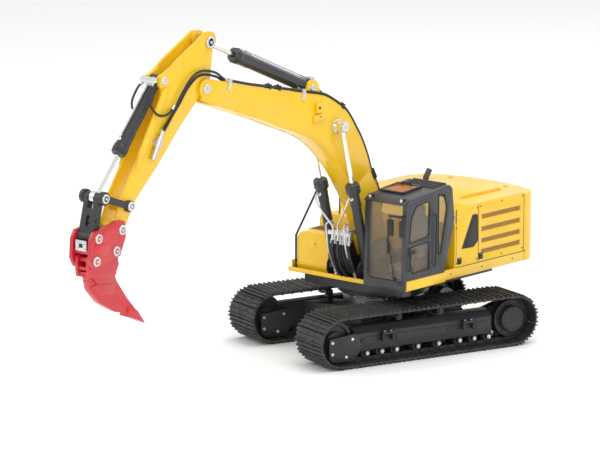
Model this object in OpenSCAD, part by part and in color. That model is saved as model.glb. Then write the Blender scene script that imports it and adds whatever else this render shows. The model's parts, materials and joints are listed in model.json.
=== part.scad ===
// Radio-controlled crawler excavator at 1:14 scale, millimetres.
// Forward is -Y, the cab side is +X, the ground is z = 0 and the swing axis is the Z axis.

/* [Undercarriage] */
// Distance between the two track centres
track_gauge = 180; // [172:1:190]
// Width of the track shoes
shoe_w = 66; // [56:1:72]
// Distance between idler and sprocket shafts
wheelbase = 286; // [280:1:310]
// Outer radius of the belt over the grousers, half the track height
track_r = 37; // [36:0.5:40]
// Shoes on each track
shoe_count = 49; // [45:1:53]
// Height of a grouser bar
grouser_h = 2.6; // [2:0.1:3]
// Thickness of a shoe plate
shoe_t = 2; // [1.6:0.1:2.2]
// Height of the chain link rails
link_h = 4.8; // [4.2:0.1:5]
// Angle the undercarriage is turned from straight ahead
parked_turn = 18; // [0:1:45]

/* [Upper structure] */
// Half width of the deck
side_x = 104; // [102:1:108]
// Height of the underside of the deck
deck_z = 100; // [98:0.5:104]
// Height of the side skirts
skirt_h = 14; // [12:0.5:16]
// Rear end of the side panels
panel_rear_y = 186; // [180:1:195]
// Tail swing radius of the counterweight
tail_r = 236; // [232:1:250]
// Height of the engine hood above the ground
hood_z = 198; // [190:1:205]
// Wall thickness of covers and cab
wall = 2.5; // [2:0.1:3]

/* [Cab] */
// Inner side of the cab
cab_in_x = 37; // [36.5:0.5:40]
// Width of the cab
cab_w = 73; // [70:1:76]

/* [Boom and stick] */
// Half width of the boom
boom_hw = 17; // [15:0.5:17]
// Half width of the stick
stick_hw = 12.8; // [11:0.1:12.8]
// Thickness of the box plates
box_t = 2.6; // [2:0.1:3]
// Radius of the main arm pins
main_pin_r = 4; // [3:0.1:4.5]
// Radius of the linkage pins
link_pin_r = 3; // [2.5:0.1:3.2]

/* [Hydraulics] */
// Distance of each boom cylinder from the centre plane
boom_cyl_x = 28.6; // [28.2:0.1:29]
// Radius of the boom cylinder barrels
boom_barrel_r = 6.8; // [6:0.1:7]
// Radius of the stick and bucket cylinder barrels
arm_barrel_r = 9; // [8.4:0.1:9.4]
// Radius of the piston rods
rod_r = 3.1; // [2.6:0.1:3.4]

/* [Fits] */
// Running clearance of shafts and pins, radial
run_fit = 0.06; // [0.03:0.01:0.1]
// Gap between parts that pass each other
gap = 0.4; // [0.3:0.05:0.6]

/* [Hidden] */
$fn = 48;

// Belt
half_base = wheelbase / 2;
rail_r = track_r - grouser_h - shoe_t - link_h;
pitch_r = rail_r + link_h / 2;
belt_len = 2 * wheelbase + 2 * PI * pitch_r;
pitch = belt_len / shoe_count;
link_turn = pitch / pitch_r * 180 / PI;
wheel_rail_r = pitch_r * cos(link_turn / 2) - link_h / 2;
rail_x = 9;
rail_w = 4.4;
rail_z = grouser_h + shoe_t + link_h;

// Side frame, in the track's own frame with +X outboard
frame_hw = 15;
skirt_low = 19;
roller_z = rail_z + 5.6;
roller_mid = 6.5;
roller_pitch = 24;
roller_group = 76;
roller_pair = 17;
roller_y = [
    for (g = [-roller_group, roller_group]) each [for (i = [-1:1]) roller_mid + g + i * roller_pitch],
    roller_mid - roller_pair,
    roller_mid + roller_pair
];
carrier_y = [-39, 29];
carrier_r = 5.1;
carrier_z = 2 * track_r - rail_z - 0.3 - carrier_r;
idler_r = wheel_rail_r - 0.3;
frame_end = half_base - 31;
axle_r = 4;
drum_r = 18.5;
spindle_r = 9;

// Swing bearing
ring_r = 56;
race_r = 44;
ring_z = 60;

// Pivots of the arm in the centre plane, as [y, z]
boom_foot = [-27, 138];
cyl_foot = [-69, 116];
boom_lug = [-126, 325];
boom_tip = [-388, 408];
stick_cyl_foot = [-169, 382];
stick_tail = [-377, 470];
bucket_cyl_foot = [-466, 428];
side_link_foot = [-536, 274];
link_pin = [-584, 290];
stick_end = [-553, 246];
coupler_pin = [-597, 241];
ripper_pins = [[-564, 220], [-601, 212]];

// Where the cylinders' rod ends stand at rest, so that fixed ratios follow the true loops closely
boom_rod_end = boom_lug + [-0.82, -0.42];
stick_rod_end = stick_tail + [-0.36, -1.96];
loop_slack = 2.8;
bucket_slack = 3;
cap_r = 8;

// Deck and body
deck_t = 4;
deck_top = deck_z + deck_t;
skirt_top = deck_z + skirt_h;
tail_corner = 30;
cab_out_x = cab_in_x + cab_w;
cab_z = deck_top + 0.5;
foot_bracket_x = boom_hw + 0.5;
foot_bracket_t = 3.9;
hinge_x = cab_out_x + 1.4;
hinge_y = -30.2;

// Outlines in the side view, as [y, z]
cab_outline = [
    [-88, cab_z], [-85, 221], [-78, 226], [8, 235], [14, 230], [19.5, 186], [-4, cab_z + 2], [-4, cab_z]
];
door_outline = [[-84, 117], [-81.5, 219], [-31, 224], [-31, 117]];
door_windows = [
    [[-79, 166], [-75.5, 200], [-64, 216], [-36, 219], [-36, 170]],
    [[-79.5, 160], [-36, 163], [-36, 124], [-73, 123]]
];
rear_side_window = [[-16, 225], [-3, 224], [3, 204], [-10, 142], [-16, 142]];
hood_outline = [
    [28, deck_top], [28, 176], [44, 181], [62, hood_z - 1], [66, hood_z],
    [panel_rear_y, hood_z], [panel_rear_y, deck_top]
];
boom_outline = [
    [-388, 421], [-348, 412], [-304, 401], [-226, 384.5], [-180, 375], [-165, 372], [-149, 368], [-136, 362],
    [-120, 353], [-105, 343], [-94, 331], [-83, 316], [-73, 302], [-64, 286], [-56, 269], [-50, 253],
    [-35, 226], [-13, 142], [-36, 127], [-42, 142], [-62, 191], [-77, 216], [-88, 232], [-98, 246],
    [-108, 258.5], [-119, 270.5], [-133, 284], [-151, 298.5], [-173, 312], [-200, 323.5], [-241, 338.5],
    [-275, 351.5], [-349, 377], [-399, 394]
];
stick_outline = [
    [-369, 480], [-385, 482], [-444, 450], [-464, 436], [-482, 381], [-546, 288], [-562, 252],
    [-553, 236], [-543, 244], [-520, 281], [-479, 319], [-437, 363], [-401, 396], [-378, 409], [-374, 440]
];

// Vector helpers
function unit(v) = v / norm(v);
function left_of(v) = [-v[1], v[0]];
// Outline moved inwards by d, for points listed clockwise
function inset(p, d) = [
    for (i = [0:len(p) - 1])
        let (n = len(p))
        let (a = -left_of(unit(p[i] - p[(i + n - 1) % n])))
        let (b = -left_of(unit(p[(i + 1) % n] - p[i])))
        p[i] + d * (a + b) / (1 + a * b)
];
function turned(p, c, a) = c + [
    (p[0] - c[0]) * cos(a) - (p[1] - c[1]) * sin(a),
    (p[0] - c[0]) * sin(a) + (p[1] - c[1]) * cos(a)
];
// Lower face of the boom above its foot, y at the height z
function boom_back_y(z) = boom_outline[19][0] + (z - boom_outline[19][1])
    * (boom_outline[20][0] - boom_outline[19][0]) / (boom_outline[20][1] - boom_outline[19][1]);
function tilt(a, b) = atan2(a[0] - b[0], b[1] - a[1]);

// Rest places of the link pin on each of its three members
side_link_pin = turned(link_pin, side_link_foot, -0.9);
h_link_pin = turned(link_pin, coupler_pin, 0.5);
bucket_rod_end = turned(link_pin - 1.44 * unit(link_pin - bucket_cyl_foot), bucket_cyl_foot, 0.46);

// Round bar along X through the point p of the side view
module bar_x(p, r, x0, x1) {
    translate([x0, p[0], p[1]]) rotate([0, 90, 0]) cylinder(r = r, h = x1 - x0);
}

// Side-view outline made into a plate between x0 and x1
module plate_x(outline, x0, x1) {
    translate([x0, 0, 0]) rotate([90, 0, 90]) linear_extrude(x1 - x0) polygon(outline);
}

// Block between two corners
module block(low, high) {
    translate(low) cube(high - low);
}

// Children at x and -x, mirrored
module both_sides() {
    children();
    mirror([1, 0, 0]) children();
}

// Frame whose +Z runs from a to b of the side view
module along(a, b, x = 0) {
    translate([x, a[0], a[1]]) rotate([tilt(a, b), 0, 0]) children();
}

// Revolved shape about an X axis at the point p, from [radius, x] points
module turned_x(p, profile) {
    translate([0, p[0], p[1]]) rotate([0, 90, 0]) rotate_extrude() polygon(profile);
}

// Undercarriage frame: tracks are drawn at x = 0 with +X outboard
module undercarriage() {
    rotate([0, 0, -parked_turn]) children();
}

module left_track() {
    undercarriage() translate([track_gauge / 2, 0, 0]) children();
}

module right_track() {
    undercarriage() mirror([1, 0, 0]) translate([track_gauge / 2, 0, 0]) children();
}

// Chain pin at length s along the belt, as [y, z], from the front of the ground run
function belt_point(s) =
    let (rear = wheelbase + PI * pitch_r)
    let (top = rear + wheelbase)
    s < wheelbase ? [s - half_base, track_r - pitch_r]
    : s < rear ? arc_point(half_base, -90 + (s - wheelbase) / pitch_r * 180 / PI)
    : s < top ? [half_base - (s - rear), track_r + pitch_r]
    : arc_point(-half_base, 90 + (s - top) / pitch_r * 180 / PI);
function arc_point(y, a) = [y + pitch_r * cos(a), track_r + pitch_r * sin(a)];

// Frame of chain link i, halfway between its two pins, +Z outwards
module on_belt(i) {
    from = belt_point(i * pitch);
    to = belt_point((i + 1) * pitch % belt_len);
    mid = (from + to) / 2;
    translate([0, mid[0], mid[1]]) rotate([atan2(to[1] - from[1], to[0] - from[0]) + 180, 0, 0]) children();
}

module shoe() {
    low = link_h / 2;
    mid = low + shoe_t;
    tip = mid + grouser_h;
    half = pitch / 2 - 0.25;
    bar = 1.3;
    slope = 0.7;
    plate_x([
        [-half, low], [half, low], [half, tip], [half - bar, tip], [half - bar - slope, mid],
        [bar / 2 + slope, mid], [bar / 2, tip], [-bar / 2, tip], [-bar / 2 - slope, mid],
        [-half + bar + slope, mid], [-half + bar, tip], [-half, tip]
    ], -shoe_w / 2, shoe_w / 2);
}

module link_pair() {
    inner = wheel_rail_r * tan(link_turn / 2) - 0.25;
    outer = pitch / 2 - 0.25;
    for (x = [-rail_x, rail_x]) {
        plate_x([
            [-inner, -link_h / 2], [inner, -link_h / 2], [outer, link_h / 2], [-outer, link_h / 2]
        ], x - rail_w / 2, x + rail_w / 2);
    }
}

module track_shoes() {
    color("dimgray") for (i = [0:shoe_count - 1]) on_belt(i) shoe();
}

module track_links() {
    color("#3a3a3c") for (i = [0:shoe_count - 1]) on_belt(i) link_pair();
}

module side_frame() {
    plate_h = 43;
    ridge = 52;
    color("#2f3033") difference() {
        union() {
            plate_y([
                [frame_hw, skirt_low], [frame_hw, plate_h], [8, ridge], [-8, ridge], [-frame_hw, plate_h],
                [-frame_hw, skirt_low], [-13, skirt_low], [-13, 24], [13, 24], [13, skirt_low]
            ], -frame_end, frame_end);
            yoke(frame_hw, frame_hw + 3);
            yoke(-frame_hw - 3, -frame_hw);
            plate_x([
                [frame_end - 8, 22], [frame_end - 8, 48], [half_base - 8, 57], [half_base + 12, 52],
                [half_base + 19, 44], [half_base + 19, 30], [half_base + 12, 22]
            ], -frame_hw, -frame_hw + 3);
            for (y = [-72, 60]) block([frame_hw, y, 40], [frame_hw + 9, y + 20, 43]);
            bar_x([-half_base, track_r], axle_r, -frame_hw, frame_hw);
            for (y = carrier_y) {
                block([-14.6, y - 4, 40], [-12.6, y + 4, carrier_z + 3]);
                bar_x([y, carrier_z], 2, -12.6, 13.2);
                bar_x([y, carrier_z], 3.2, 12.2, 13.4);
            }
        }
        bar_x([half_base, track_r], spindle_r + 3, -frame_hw - 1, -frame_hw + 4);
    }
}

// Outline in the X-Z plane made into a bar between y0 and y1
module plate_y(outline, y0, y1) {
    translate([0, y1, 0]) rotate([90, 0, 0]) linear_extrude(y1 - y0) polygon(outline);
}

// Idler yoke and guard plate
module yoke(x0, x1) {
    plate_x([
        [-half_base - 12, 41], [-half_base - 12, 14], [-half_base - 6, 8], [-frame_end - 4, 6],
        [-frame_end + 6, skirt_low], [-frame_end + 6, 43], [-frame_end - 4, 45]
    ], x0, x1);
}

module bottom_rollers() {
    tread = roller_z - rail_z - 0.1;
    flange = tread + 1.7;
    in_x = rail_x - rail_w / 2 - 0.5;
    out_x = rail_x + rail_w / 2 + 0.5;
    color("#26272a") for (y = roller_y) {
        turned_x([y, roller_z], [
            [0, -out_x - 1], [flange, -out_x - 1], [flange, -out_x], [tread, -out_x], [tread, -in_x],
            [flange, -in_x], [flange, in_x], [tread, in_x], [tread, out_x], [flange, out_x],
            [flange, out_x + 1], [0, out_x + 1]
        ]);
        both_sides() {
            bar_x([y, roller_z], 3, out_x + 1, frame_hw + 2.4);
            block([13, y - 3, roller_z + 2], [frame_hw, y + 3, skirt_low]);
        }
    }
}

module carrier_roller(i) {
    out_x = rail_x + rail_w / 2 + 0.6;
    color("#26272a") turned_x([carrier_y[i], carrier_z], [
        [2 + run_fit, -out_x], [carrier_r, -out_x], [carrier_r, -6], [4, -5], [4, 5], [carrier_r, 6],
        [carrier_r, out_x], [2 + run_fit, out_x]
    ]);
}

module idler() {
    in_x = rail_x - rail_w / 2 - 0.6;
    out_x = rail_x + rail_w / 2 + 0.8;
    bore = axle_r + run_fit;
    color("#26272a") turned_x([-half_base, track_r], [
        [bore, -out_x], [12, -out_x], [13, -8], [idler_r - 5, -8], [idler_r - 4, -out_x],
        [idler_r, -out_x], [idler_r, -in_x], [idler_r + 2, -in_x + 0.6], [idler_r + 2, in_x - 0.6],
        [idler_r, in_x], [idler_r, out_x], [idler_r - 4, out_x], [idler_r - 5, 8], [13, 8],
        [12, out_x], [bore, out_x]
    ]);
}

// Sprocket ring, final drive drum and its bolted cover turn together
module sprocket() {
    teeth = 12;
    tooth_hw = 3;
    flange_in = frame_hw - 2;
    cover_x = 24;
    color("#26272a") {
        difference() {
            union() {
                turned_x([half_base, track_r], [
                    [0, -frame_hw + 4], [drum_r, -frame_hw + 4], [drum_r, -tooth_hw], [idler_r, -tooth_hw],
                    [idler_r, tooth_hw], [drum_r, tooth_hw], [drum_r, flange_in], [idler_r - 0.6, flange_in],
                    [idler_r - 0.6, frame_hw], [drum_r, frame_hw], [drum_r, cover_x - 1.5],
                    [drum_r - 1.5, cover_x], [0, cover_x]
                ]);
                translate([0, half_base, track_r]) for (i = [0:teeth - 1]) rotate([i * 360 / teeth, 0, 0])
                    plate_x([[-3, idler_r - 2], [3, idler_r - 2], [1.4, pitch_r], [-1.4, pitch_r]],
                        -tooth_hw, tooth_hw);
            }
            bar_x([half_base, track_r], spindle_r + run_fit, -frame_hw, -2);
        }
        translate([0, half_base, track_r]) for (i = [0:9]) rotate([i * 36, 0, 0]) {
            bar_x([0, drum_r - 4], 1.3, cover_x, cover_x + 1);
            bar_x([0, drum_r + 4], 1.3, frame_hw, frame_hw + 1.2);
        }
    }
}

module travel_motor() {
    color("#55565a") {
        bar_x([half_base, track_r], 13, -34, -frame_hw - 2.5);
        bar_x([half_base, track_r], spindle_r + 6, -frame_hw - 2.5, -frame_hw);
        bar_x([half_base, track_r], spindle_r + 2.9, -frame_hw, -frame_hw + 3);
        bar_x([half_base, track_r], spindle_r, -frame_hw + 3, -3);
    }
}

module carbody() {
    inner = track_gauge / 2 - frame_hw;
    color("#2f3033") undercarriage() {
        difference() {
            union() {
                cylinder(r = ring_r - 6, h = ring_z, $fn = 64);
                both_sides() for (s = [-1, 1]) scale_y(s)
                    translate([0, 0, 26]) linear_extrude(26)
                        polygon([[0, 12], [18, -6], [inner, 46], [inner, 84], [50, 72], [18, 46], [0, 44]]);
            }
            translate([0, 0, -1]) cylinder(r = ring_r + 60, h = 27);
            translate([0, 0, 20]) cylinder(r = ring_r - 16, h = 44);
        }
        translate([0, 0, 48]) difference() {
            cylinder(r = ring_r - 16, h = 6);
            translate([0, 0, -1]) cylinder(r = 10, h = 8);
        }
    }
}

// Mirror in Y where s is negative
module scale_y(s) {
    if (s < 0) mirror([0, 1, 0]) children();
    else children();
}

module swing_ring_lower() {
    color("#46474b") undercarriage() translate([0, 0, ring_z]) difference() {
        cylinder(r = ring_r, h = 12, $fn = 72);
        translate([0, 0, -1]) cylinder(r = race_r, h = 14, $fn = 72);
    }
}

module swing_ring_upper() {
    color("#46474b") translate([0, 0, ring_z]) difference() {
        union() {
            translate([0, 0, 2]) cylinder(r = race_r - run_fit, h = 12, $fn = 72);
            translate([0, 0, 12 + gap]) cylinder(r = ring_r, h = 3.6, $fn = 72);
        }
        translate([0, 0, 1]) cylinder(r = race_r - 8, h = 20, $fn = 72);
    }
}

// Dark frame under the deck, with the deck floor and the boom foot brackets
module main_frame() {
    drum_z = ring_z + 16;
    color("#2b2c30") difference() {
        union() {
            translate([0, 0, drum_z]) cylinder(r = ring_r + 8, h = 12, $fn = 72);
            block([-76, -80, 87], [76, 150, deck_z]);
            block([-side_x + wall, -82, deck_z], [side_x - wall, panel_rear_y, deck_top]);
            block([cab_in_x + 2, -86, deck_z - 8], [cab_out_x - 4, -70, deck_top]);
            both_sides() {
                foot_bracket();
                plate_x([[-74, deck_z], [-80, 110], [-79, 121], [-73, 126], [-64, 125], [-58, 116], [-58, deck_z]],
                    cab_in_x - gap - 0.9, cab_in_x - gap);
            }
        }
        translate([0, 0, drum_z - 1]) cylinder(r = race_r - 8, h = 14, $fn = 64);
        bar_x(boom_foot, main_pin_r + 0.02, -40, 40);
        bar_x(cyl_foot, link_pin_r + 0.02, -40, 40);
    }
}

module foot_bracket() {
    plate_x([
        [-74, deck_z], [-80, 110], [-79, 121], [-73, 126], [-62, 130], [-44, 150],
        [-34, 155], [-20, 154], [-10, 144], [14, deck_z]
    ], foot_bracket_x, foot_bracket_x + foot_bracket_t);
}

module foot_pins() {
    color("silver") {
        bar_x(boom_foot, main_pin_r, -foot_bracket_x - foot_bracket_t, foot_bracket_x + foot_bracket_t);
        both_sides() {
            bar_x(boom_foot, main_pin_r + 2, foot_bracket_x + foot_bracket_t, foot_bracket_x + foot_bracket_t + 1.5);
            bar_x(cyl_foot, link_pin_r, foot_bracket_x, cab_in_x - gap);
        }
    }
}

module deck_skirts() {
    edge = 4;
    step_y = -1.2;
    color("gold") {
        block([side_x - wall, step_y, deck_z], [side_x, panel_rear_y, skirt_top]);
        block([cab_out_x - 3, -84, deck_z], [cab_out_x, step_y + wall, skirt_top]);
        block([side_x, step_y, deck_z], [cab_out_x, step_y + wall, skirt_top]);
        block([-side_x, -76, deck_z], [-side_x + wall, panel_rear_y, skirt_top]);
        block([-side_x + wall, -82 - edge, deck_z], [cab_in_x - gap, -82, deck_z + 6]);
    }
}

// Tail block, round at both rear corners and on the swing radius behind
module counterweight() {
    front = panel_rear_y + gap;
    corner_y = tail_r - 14 - tail_corner;
    color("gold") difference() {
        translate([0, 0, deck_z]) linear_extrude(hood_z - deck_z - 2) intersection() {
            circle(r = tail_r, $fn = 180);
            translate([-side_x, front]) square([2 * side_x, tail_r]);
            union() {
                translate([-side_x, front]) square([2 * side_x, corner_y - front]);
                translate([-side_x + tail_corner, front])
                    square([2 * (side_x - tail_corner), tail_r - front]);
                for (s = [-1, 1]) translate([s * (side_x - tail_corner), corner_y]) circle(r = tail_corner);
            }
        }
        block([-70, front - 1, deck_top + 10], [70, front + 14, hood_z - 20]);
        for (x = [-50, 50]) translate([x, front + 26, hood_z - 16]) cylinder(r = 4, h = 20);
    }
}

module engine_hood() {
    color("gold") difference() {
        union() {
            plate_x(hood_outline, -side_x + wall, side_x - wall);
            plate_x([[84, hood_z], [92, hood_z + 4], [176, hood_z + 4], [182, hood_z]], -62, 66);
        }
        plate_x([
            [28 + wall, deck_top - 1], [28 + wall, 174], [46, 178], [64, hood_z - wall - 1],
            [panel_rear_y + 1, hood_z - wall - 1], [panel_rear_y + 1, deck_top - 1]
        ], -side_x + 2 * wall, side_x - 2 * wall);
        translate([-20, 118, hood_z - 8]) cylinder(r = 4.6, h = 20);
        both_sides() block([side_x - 2 * wall - 1, 94, 120], [side_x, 178, 184]);
    }
}

grille_y = [88, 177];
grille_z = [[174, 181.5], [156.5, 164], [140, 147.5], [124.5, 132]];

// Ventilated side cover with four long slots and a front quarter panel
module side_panel() {
    difference() {
        plate_x([
            [28, skirt_top], [28, 176], [44, 181], [62, hood_z - 1.4], [66, hood_z - 0.6],
            [panel_rear_y, hood_z - 0.6], [panel_rear_y, skirt_top]
        ], side_x - wall, side_x);
        for (z = grille_z) block([side_x - wall - 1, grille_y[0], z[0]], [side_x + 1, grille_y[1], z[1]]);
        plate_x([[44, 139], [68, 184], [79, 183], [80, 145], [70, 138]], side_x - 0.6, side_x + 1);
        for (y = [39, 87]) block([side_x - 1, y - 4.6, 118], [side_x + 1, y + 4.6, 127]);
    }
}

module side_panel_left() {
    color("gold") side_panel();
}

module side_panel_right() {
    color("gold") mirror([1, 0, 0]) side_panel();
}

module grille_meshes() {
    color("peru") both_sides() for (z = grille_z)
        block([side_x - wall, grille_y[0], z[0]], [side_x - wall + 1, grille_y[1], z[1]]);
}

// Paddle latches, and the dark badge plates set into the quarter panels
module door_latches() {
    color("#1d1e20") both_sides() {
        for (y = [39, 87]) block([side_x - 1, y - 4.6, 118], [side_x + 0.5, y + 4.6, 127]);
        plate_x([[44.4, 139.3], [68.2, 183.6], [78.7, 182.6], [79.7, 145.2], [69.8, 138.3]],
            side_x - 0.6, side_x + 0.3);
    }
}

module fuel_tank_box() {
    out_x = 93;
    in_x = 37;
    round = 12;
    color("gold") difference() {
        union() {
            tank_body(-76, -28, 157, out_x, in_x, round);
            tank_body(-28, 22, 176, out_x, in_x, round);
        }
        tank_body(-76 + wall, 22 - wall, 157 - wall, out_x - wall, in_x + wall, round - wall);
    }
}

// Box with one rounded upper outer edge, on the right of the boom
module tank_body(y0, y1, top, out_x, in_x, round) {
    translate([0, y1, 0]) rotate([90, 0, 0]) linear_extrude(y1 - y0) union() {
        translate([-out_x, deck_top]) square([out_x - in_x, top - round - deck_top]);
        translate([-out_x + round, deck_top]) square([out_x - in_x - round, top - deck_top]);
        translate([-out_x + round, top - round]) circle(r = round);
    }
}

// Cab shell with its window openings
module cab_frame() {
    post = 7;
    color("#3b3c40") difference() {
        union() {
            plate_x(cab_outline, cab_in_x, cab_out_x);
            for (y = [-16:6:8]) translate([0, 0, (y + 16) * 0.105])
                block([cab_in_x + 8, y, 230], [cab_out_x - 8, y + 2.4, 234]);
            block([cab_in_x, -88, deck_z], [cab_out_x, -86.2, cab_z + 1]);
        }
        plate_x([
            [-85, cab_z + wall], [-82, 219], [-77, 222.6], [6, 231.4], [11, 228], [16, 186], [-7, cab_z + wall]
        ], cab_in_x + wall, cab_out_x - wall);
        block([cab_in_x + post + 3, -95, cab_z + 8], [cab_out_x - post, -80, 219]);
        plate_x(door_outline, cab_out_x - wall - 1, cab_out_x + 1);
        plate_x(rear_side_window, cab_out_x - wall - 1, cab_out_x + 1);
        plate_x([[-79, 130], [-76.5, 216], [-4, 223], [3, 200], [-6, 140]], cab_in_x - 1, cab_in_x + wall + 1);
        block([cab_in_x + post, 0, 150], [cab_out_x - post, 24, 216]);
        block([43, -57, 220], [81, -23, 238]);
        block([cab_out_x - 3.2, -84.3, cab_z - 1], [cab_out_x + 1, 0, skirt_top + 0.3]);
    }
}

module cab_glass() {
    color("#5a5048", 0.5) {
        plate_x([[-87.2, cab_z + 9], [-84.9, 218], [-83.6, 218], [-85.9, cab_z + 9]],
            cab_in_x + 10.2, cab_out_x - 7.2);
        plate_x(inset(rear_side_window, 0.2), cab_out_x - wall, cab_out_x - 1);
        plate_x([[-78.8, 130.4], [-76.3, 215.8], [-4.2, 222.7], [2.8, 200], [-6.2, 140.4]],
            cab_in_x + 0.6, cab_in_x + wall);
        plate_x([[8.5, 150.2], [17.5, 185.8], [13.9, 215.8], [12.5, 215.8], [16, 185.8], [7.1, 150.2]],
            cab_in_x + 7.2, cab_out_x - 7.2);
    }
}

module cab_door() {
    color("#3b3c40") {
        difference() {
            plate_x(inset(door_outline, gap), cab_out_x - wall, cab_out_x);
            for (w = door_windows) plate_x(w, cab_out_x - wall - 1, cab_out_x + 1);
        }
        for (z = [122, 196]) {
            block([cab_out_x, hinge_y - 5, z], [hinge_x, hinge_y - 0.8, z + 10]);
            translate([hinge_x, hinge_y, z]) cylinder(r = 1.1, h = 10);
        }
        block([cab_out_x, -78, 146], [cab_out_x + 2, -75, 158]);
    }
}

module cab_door_glass() {
    color("#5a5048", 0.5) for (w = door_windows) plate_x(inset(w, 0.1), cab_out_x - wall + 0.5, cab_out_x - 1);
}

module roof_hatch() {
    color("darkorange") plate_x([[-56.8, 228.4], [-56.8, 230.6], [-23.2, 234], [-23.2, 231.8]], 43.2, 80.8);
}

module seat() {
    color("gray") {
        block([58, -50, cab_z + wall], [88, -18, 116]);
        block([54, -54, 116], [92, -14, 126]);
        plate_x([[-22, 126], [-16, 192], [-8, 192], [-12, 126]], 56, 90);
        plate_x([[-18, 192], [-17, 206], [-10, 206], [-10, 192]], 63, 83);
    }
}

module control_consoles() {
    color("#1d1e20") {
        for (x = [44, 93]) {
            block([x, -52, cab_z + wall], [x + 7, -16, 138]);
            translate([x + 3.5, -48, 138]) cylinder(r = 1.2, h = 12);
            translate([x + 3.5, -48, 150]) sphere(r = 3.4);
        }
        for (x = [66, 76]) {
            translate([x, -70, cab_z + wall]) cylinder(r = 1, h = 22);
            block([x - 3, -74, cab_z + wall + 4], [x + 3, -66, cab_z + wall + 6]);
        }
    }
}

module exhaust_pipe() {
    pipe_r = 4.2;
    bore_r = 3.4;
    color("#4a4b4f") translate([-20, 118, hood_z - wall]) difference() {
        union() {
            cylinder(r = pipe_r, h = 18);
            translate([0, 0, 18]) {
                sphere(r = pipe_r);
                rotate([-38, 0, 0]) cylinder(r = pipe_r, h = 13);
            }
        }
        translate([0, 0, 2]) cylinder(r = bore_r, h = 16);
        translate([0, 0, 18]) {
            sphere(r = bore_r);
            rotate([-38, 0, 0]) cylinder(r = bore_r, h = 14);
        }
    }
}

// Bent round rail through side-view points, with a ball at each bend
module rail(points, x, r) {
    for (i = [0:len(points) - 2])
        along(points[i], points[i + 1], x) cylinder(r = r, h = norm(points[i + 1] - points[i]));
    for (p = points) translate([x, p[0], p[1]]) sphere(r = r + 0.3);
}

module handrails() {
    color("#1d1e20") {
        rail([[-77, 106], [-77, 150], [-32, 208], [-14, 208], [-10, 178]], -94.5, 1.5);
        rail([[-24, 178], [-24, 214], [20, 214], [20, 178]], -60, 1);
        rail([[-91, 118], [-91, 205]], 47, 1);
    }
}

module mirrors() {
    color("#1d1e20") {
        block([cab_out_x - 22, -98, 204], [cab_out_x, -94, 206]);
        for (x = [cab_out_x - 24, cab_out_x - 3]) {
            translate([x + 4, -96, 186]) cylinder(r = 0.9, h = 19);
            block([x, -98, 178], [x + 9, -94.5, 200]);
        }
        block([cab_out_x - 6, -96, 203], [cab_out_x - 3, -86.5, 206]);
    }
}

module swing_motor() {
    color("#55565a") {
        translate([0, 44, deck_top]) cylinder(r = 13, h = 40);
        translate([0, 44, deck_top + 40]) cylinder(r = 9, h = 14);
    }
}

module pump_motor() {
    color("#6a6b70") {
        bar_x([122, 128], 18, -70, -14);
        block([-66, 106, deck_top], [-18, 138, 112]);
        block([-14, 108, 114], [14, 136, 142]);
    }
}

module battery_pack() {
    color("#2a4a9a") block([24, 74, deck_top], [86, 170, 150]);
}

// Boom: hollow bent box with a forked tip, foot boss, cylinder lug and stick cylinder ears
module boom() {
    fork = stick_hw + gap;
    ear_in = arm_barrel_r + gap;
    color("gold") difference() {
        union() {
            difference() {
                plate_x(boom_outline, -boom_hw, boom_hw);
                plate_x(inset(boom_outline, box_t), -boom_hw + box_t, boom_hw - box_t);
            }
            bar_x(boom_foot, 13, -boom_hw, boom_hw);
            bar_x(boom_tip, 13, -boom_hw, boom_hw);
            bar_x(boom_lug, 12, -boom_hw, boom_hw);
            both_sides() {
                plate_x([[-190, 362], [-178, 389], [-173, 392], [-165, 392], [-159, 388], [-146, 350]], ear_in, ear_in + 4);
            }
        }
        block([-fork, -430, 340], [fork, -362, 440]);
        bar_x(boom_foot, main_pin_r + run_fit, -40, 40);
        bar_x(boom_tip, main_pin_r + 0.02, -40, 40);
        bar_x(boom_lug, main_pin_r + loop_slack, -40, 40);
        bar_x(stick_cyl_foot, link_pin_r + 0.02, -40, 40);
    }
}

module boom_pins() {
    color("silver") {
        bar_x(boom_tip, main_pin_r, -boom_hw - 1, boom_hw + 1);
        bar_x(stick_cyl_foot, link_pin_r, -arm_barrel_r - gap - 4, arm_barrel_r + gap + 4);
        both_sides() {
            bar_x(boom_tip, 6.4, boom_hw, boom_hw + 2);
            bar_x(stick_cyl_foot, 5, arm_barrel_r + gap + 4, arm_barrel_r + gap + 5.5);
        }
    }
}

// Distribution bar on the underside of the boom, with its bent tubes and hose ends
module boom_manifold() {
    bar_y = -93;
    bar_z = 168;
    color("silver") {
        block([-20, bar_y - 4, bar_z - 3], [20, bar_y + 3, bar_z + 3]);
        plate_x([
            [bar_y + 3, bar_z - 3], [bar_y + 3, bar_z + 3], [boom_back_y(bar_z + 3), bar_z + 3],
            [boom_back_y(bar_z - 3), bar_z - 3]
        ], -8, 8);
        for (x = [-15:5:15]) translate([x, bar_y, bar_z - 12]) cylinder(r = 1.6, h = 9);
        for (x = [-13, 13]) translate([x, bar_y, bar_z + 3]) cylinder(r = 1.2, h = 14);
    }
}

// Cylinder barrel: eye, neck, tube with its bore, and gland
module barrel(length, r, gland_r, neck, eye_r, eye_hw, pin_r) {
    difference() {
        union() {
            rotate([0, 90, 0]) translate([0, 0, -eye_hw]) cylinder(r = eye_r, h = 2 * eye_hw);
            cylinder(r = min(r, eye_hw), h = neck + 2);
            translate([0, 0, neck]) cylinder(r = r, h = length - neck - 4);
            translate([0, 0, length - 9]) cylinder(r = gland_r, h = 9);
        }
        rotate([0, 90, 0]) translate([0, 0, -eye_hw - 1]) cylinder(r = pin_r + run_fit, h = 2 * eye_hw + 2);
        translate([0, 0, neck + 6]) cylinder(r = r - 1.6, h = length - neck - 14);
        translate([0, 0, length - 12]) cylinder(r = rod_r + run_fit, h = 14);
    }
}

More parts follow.
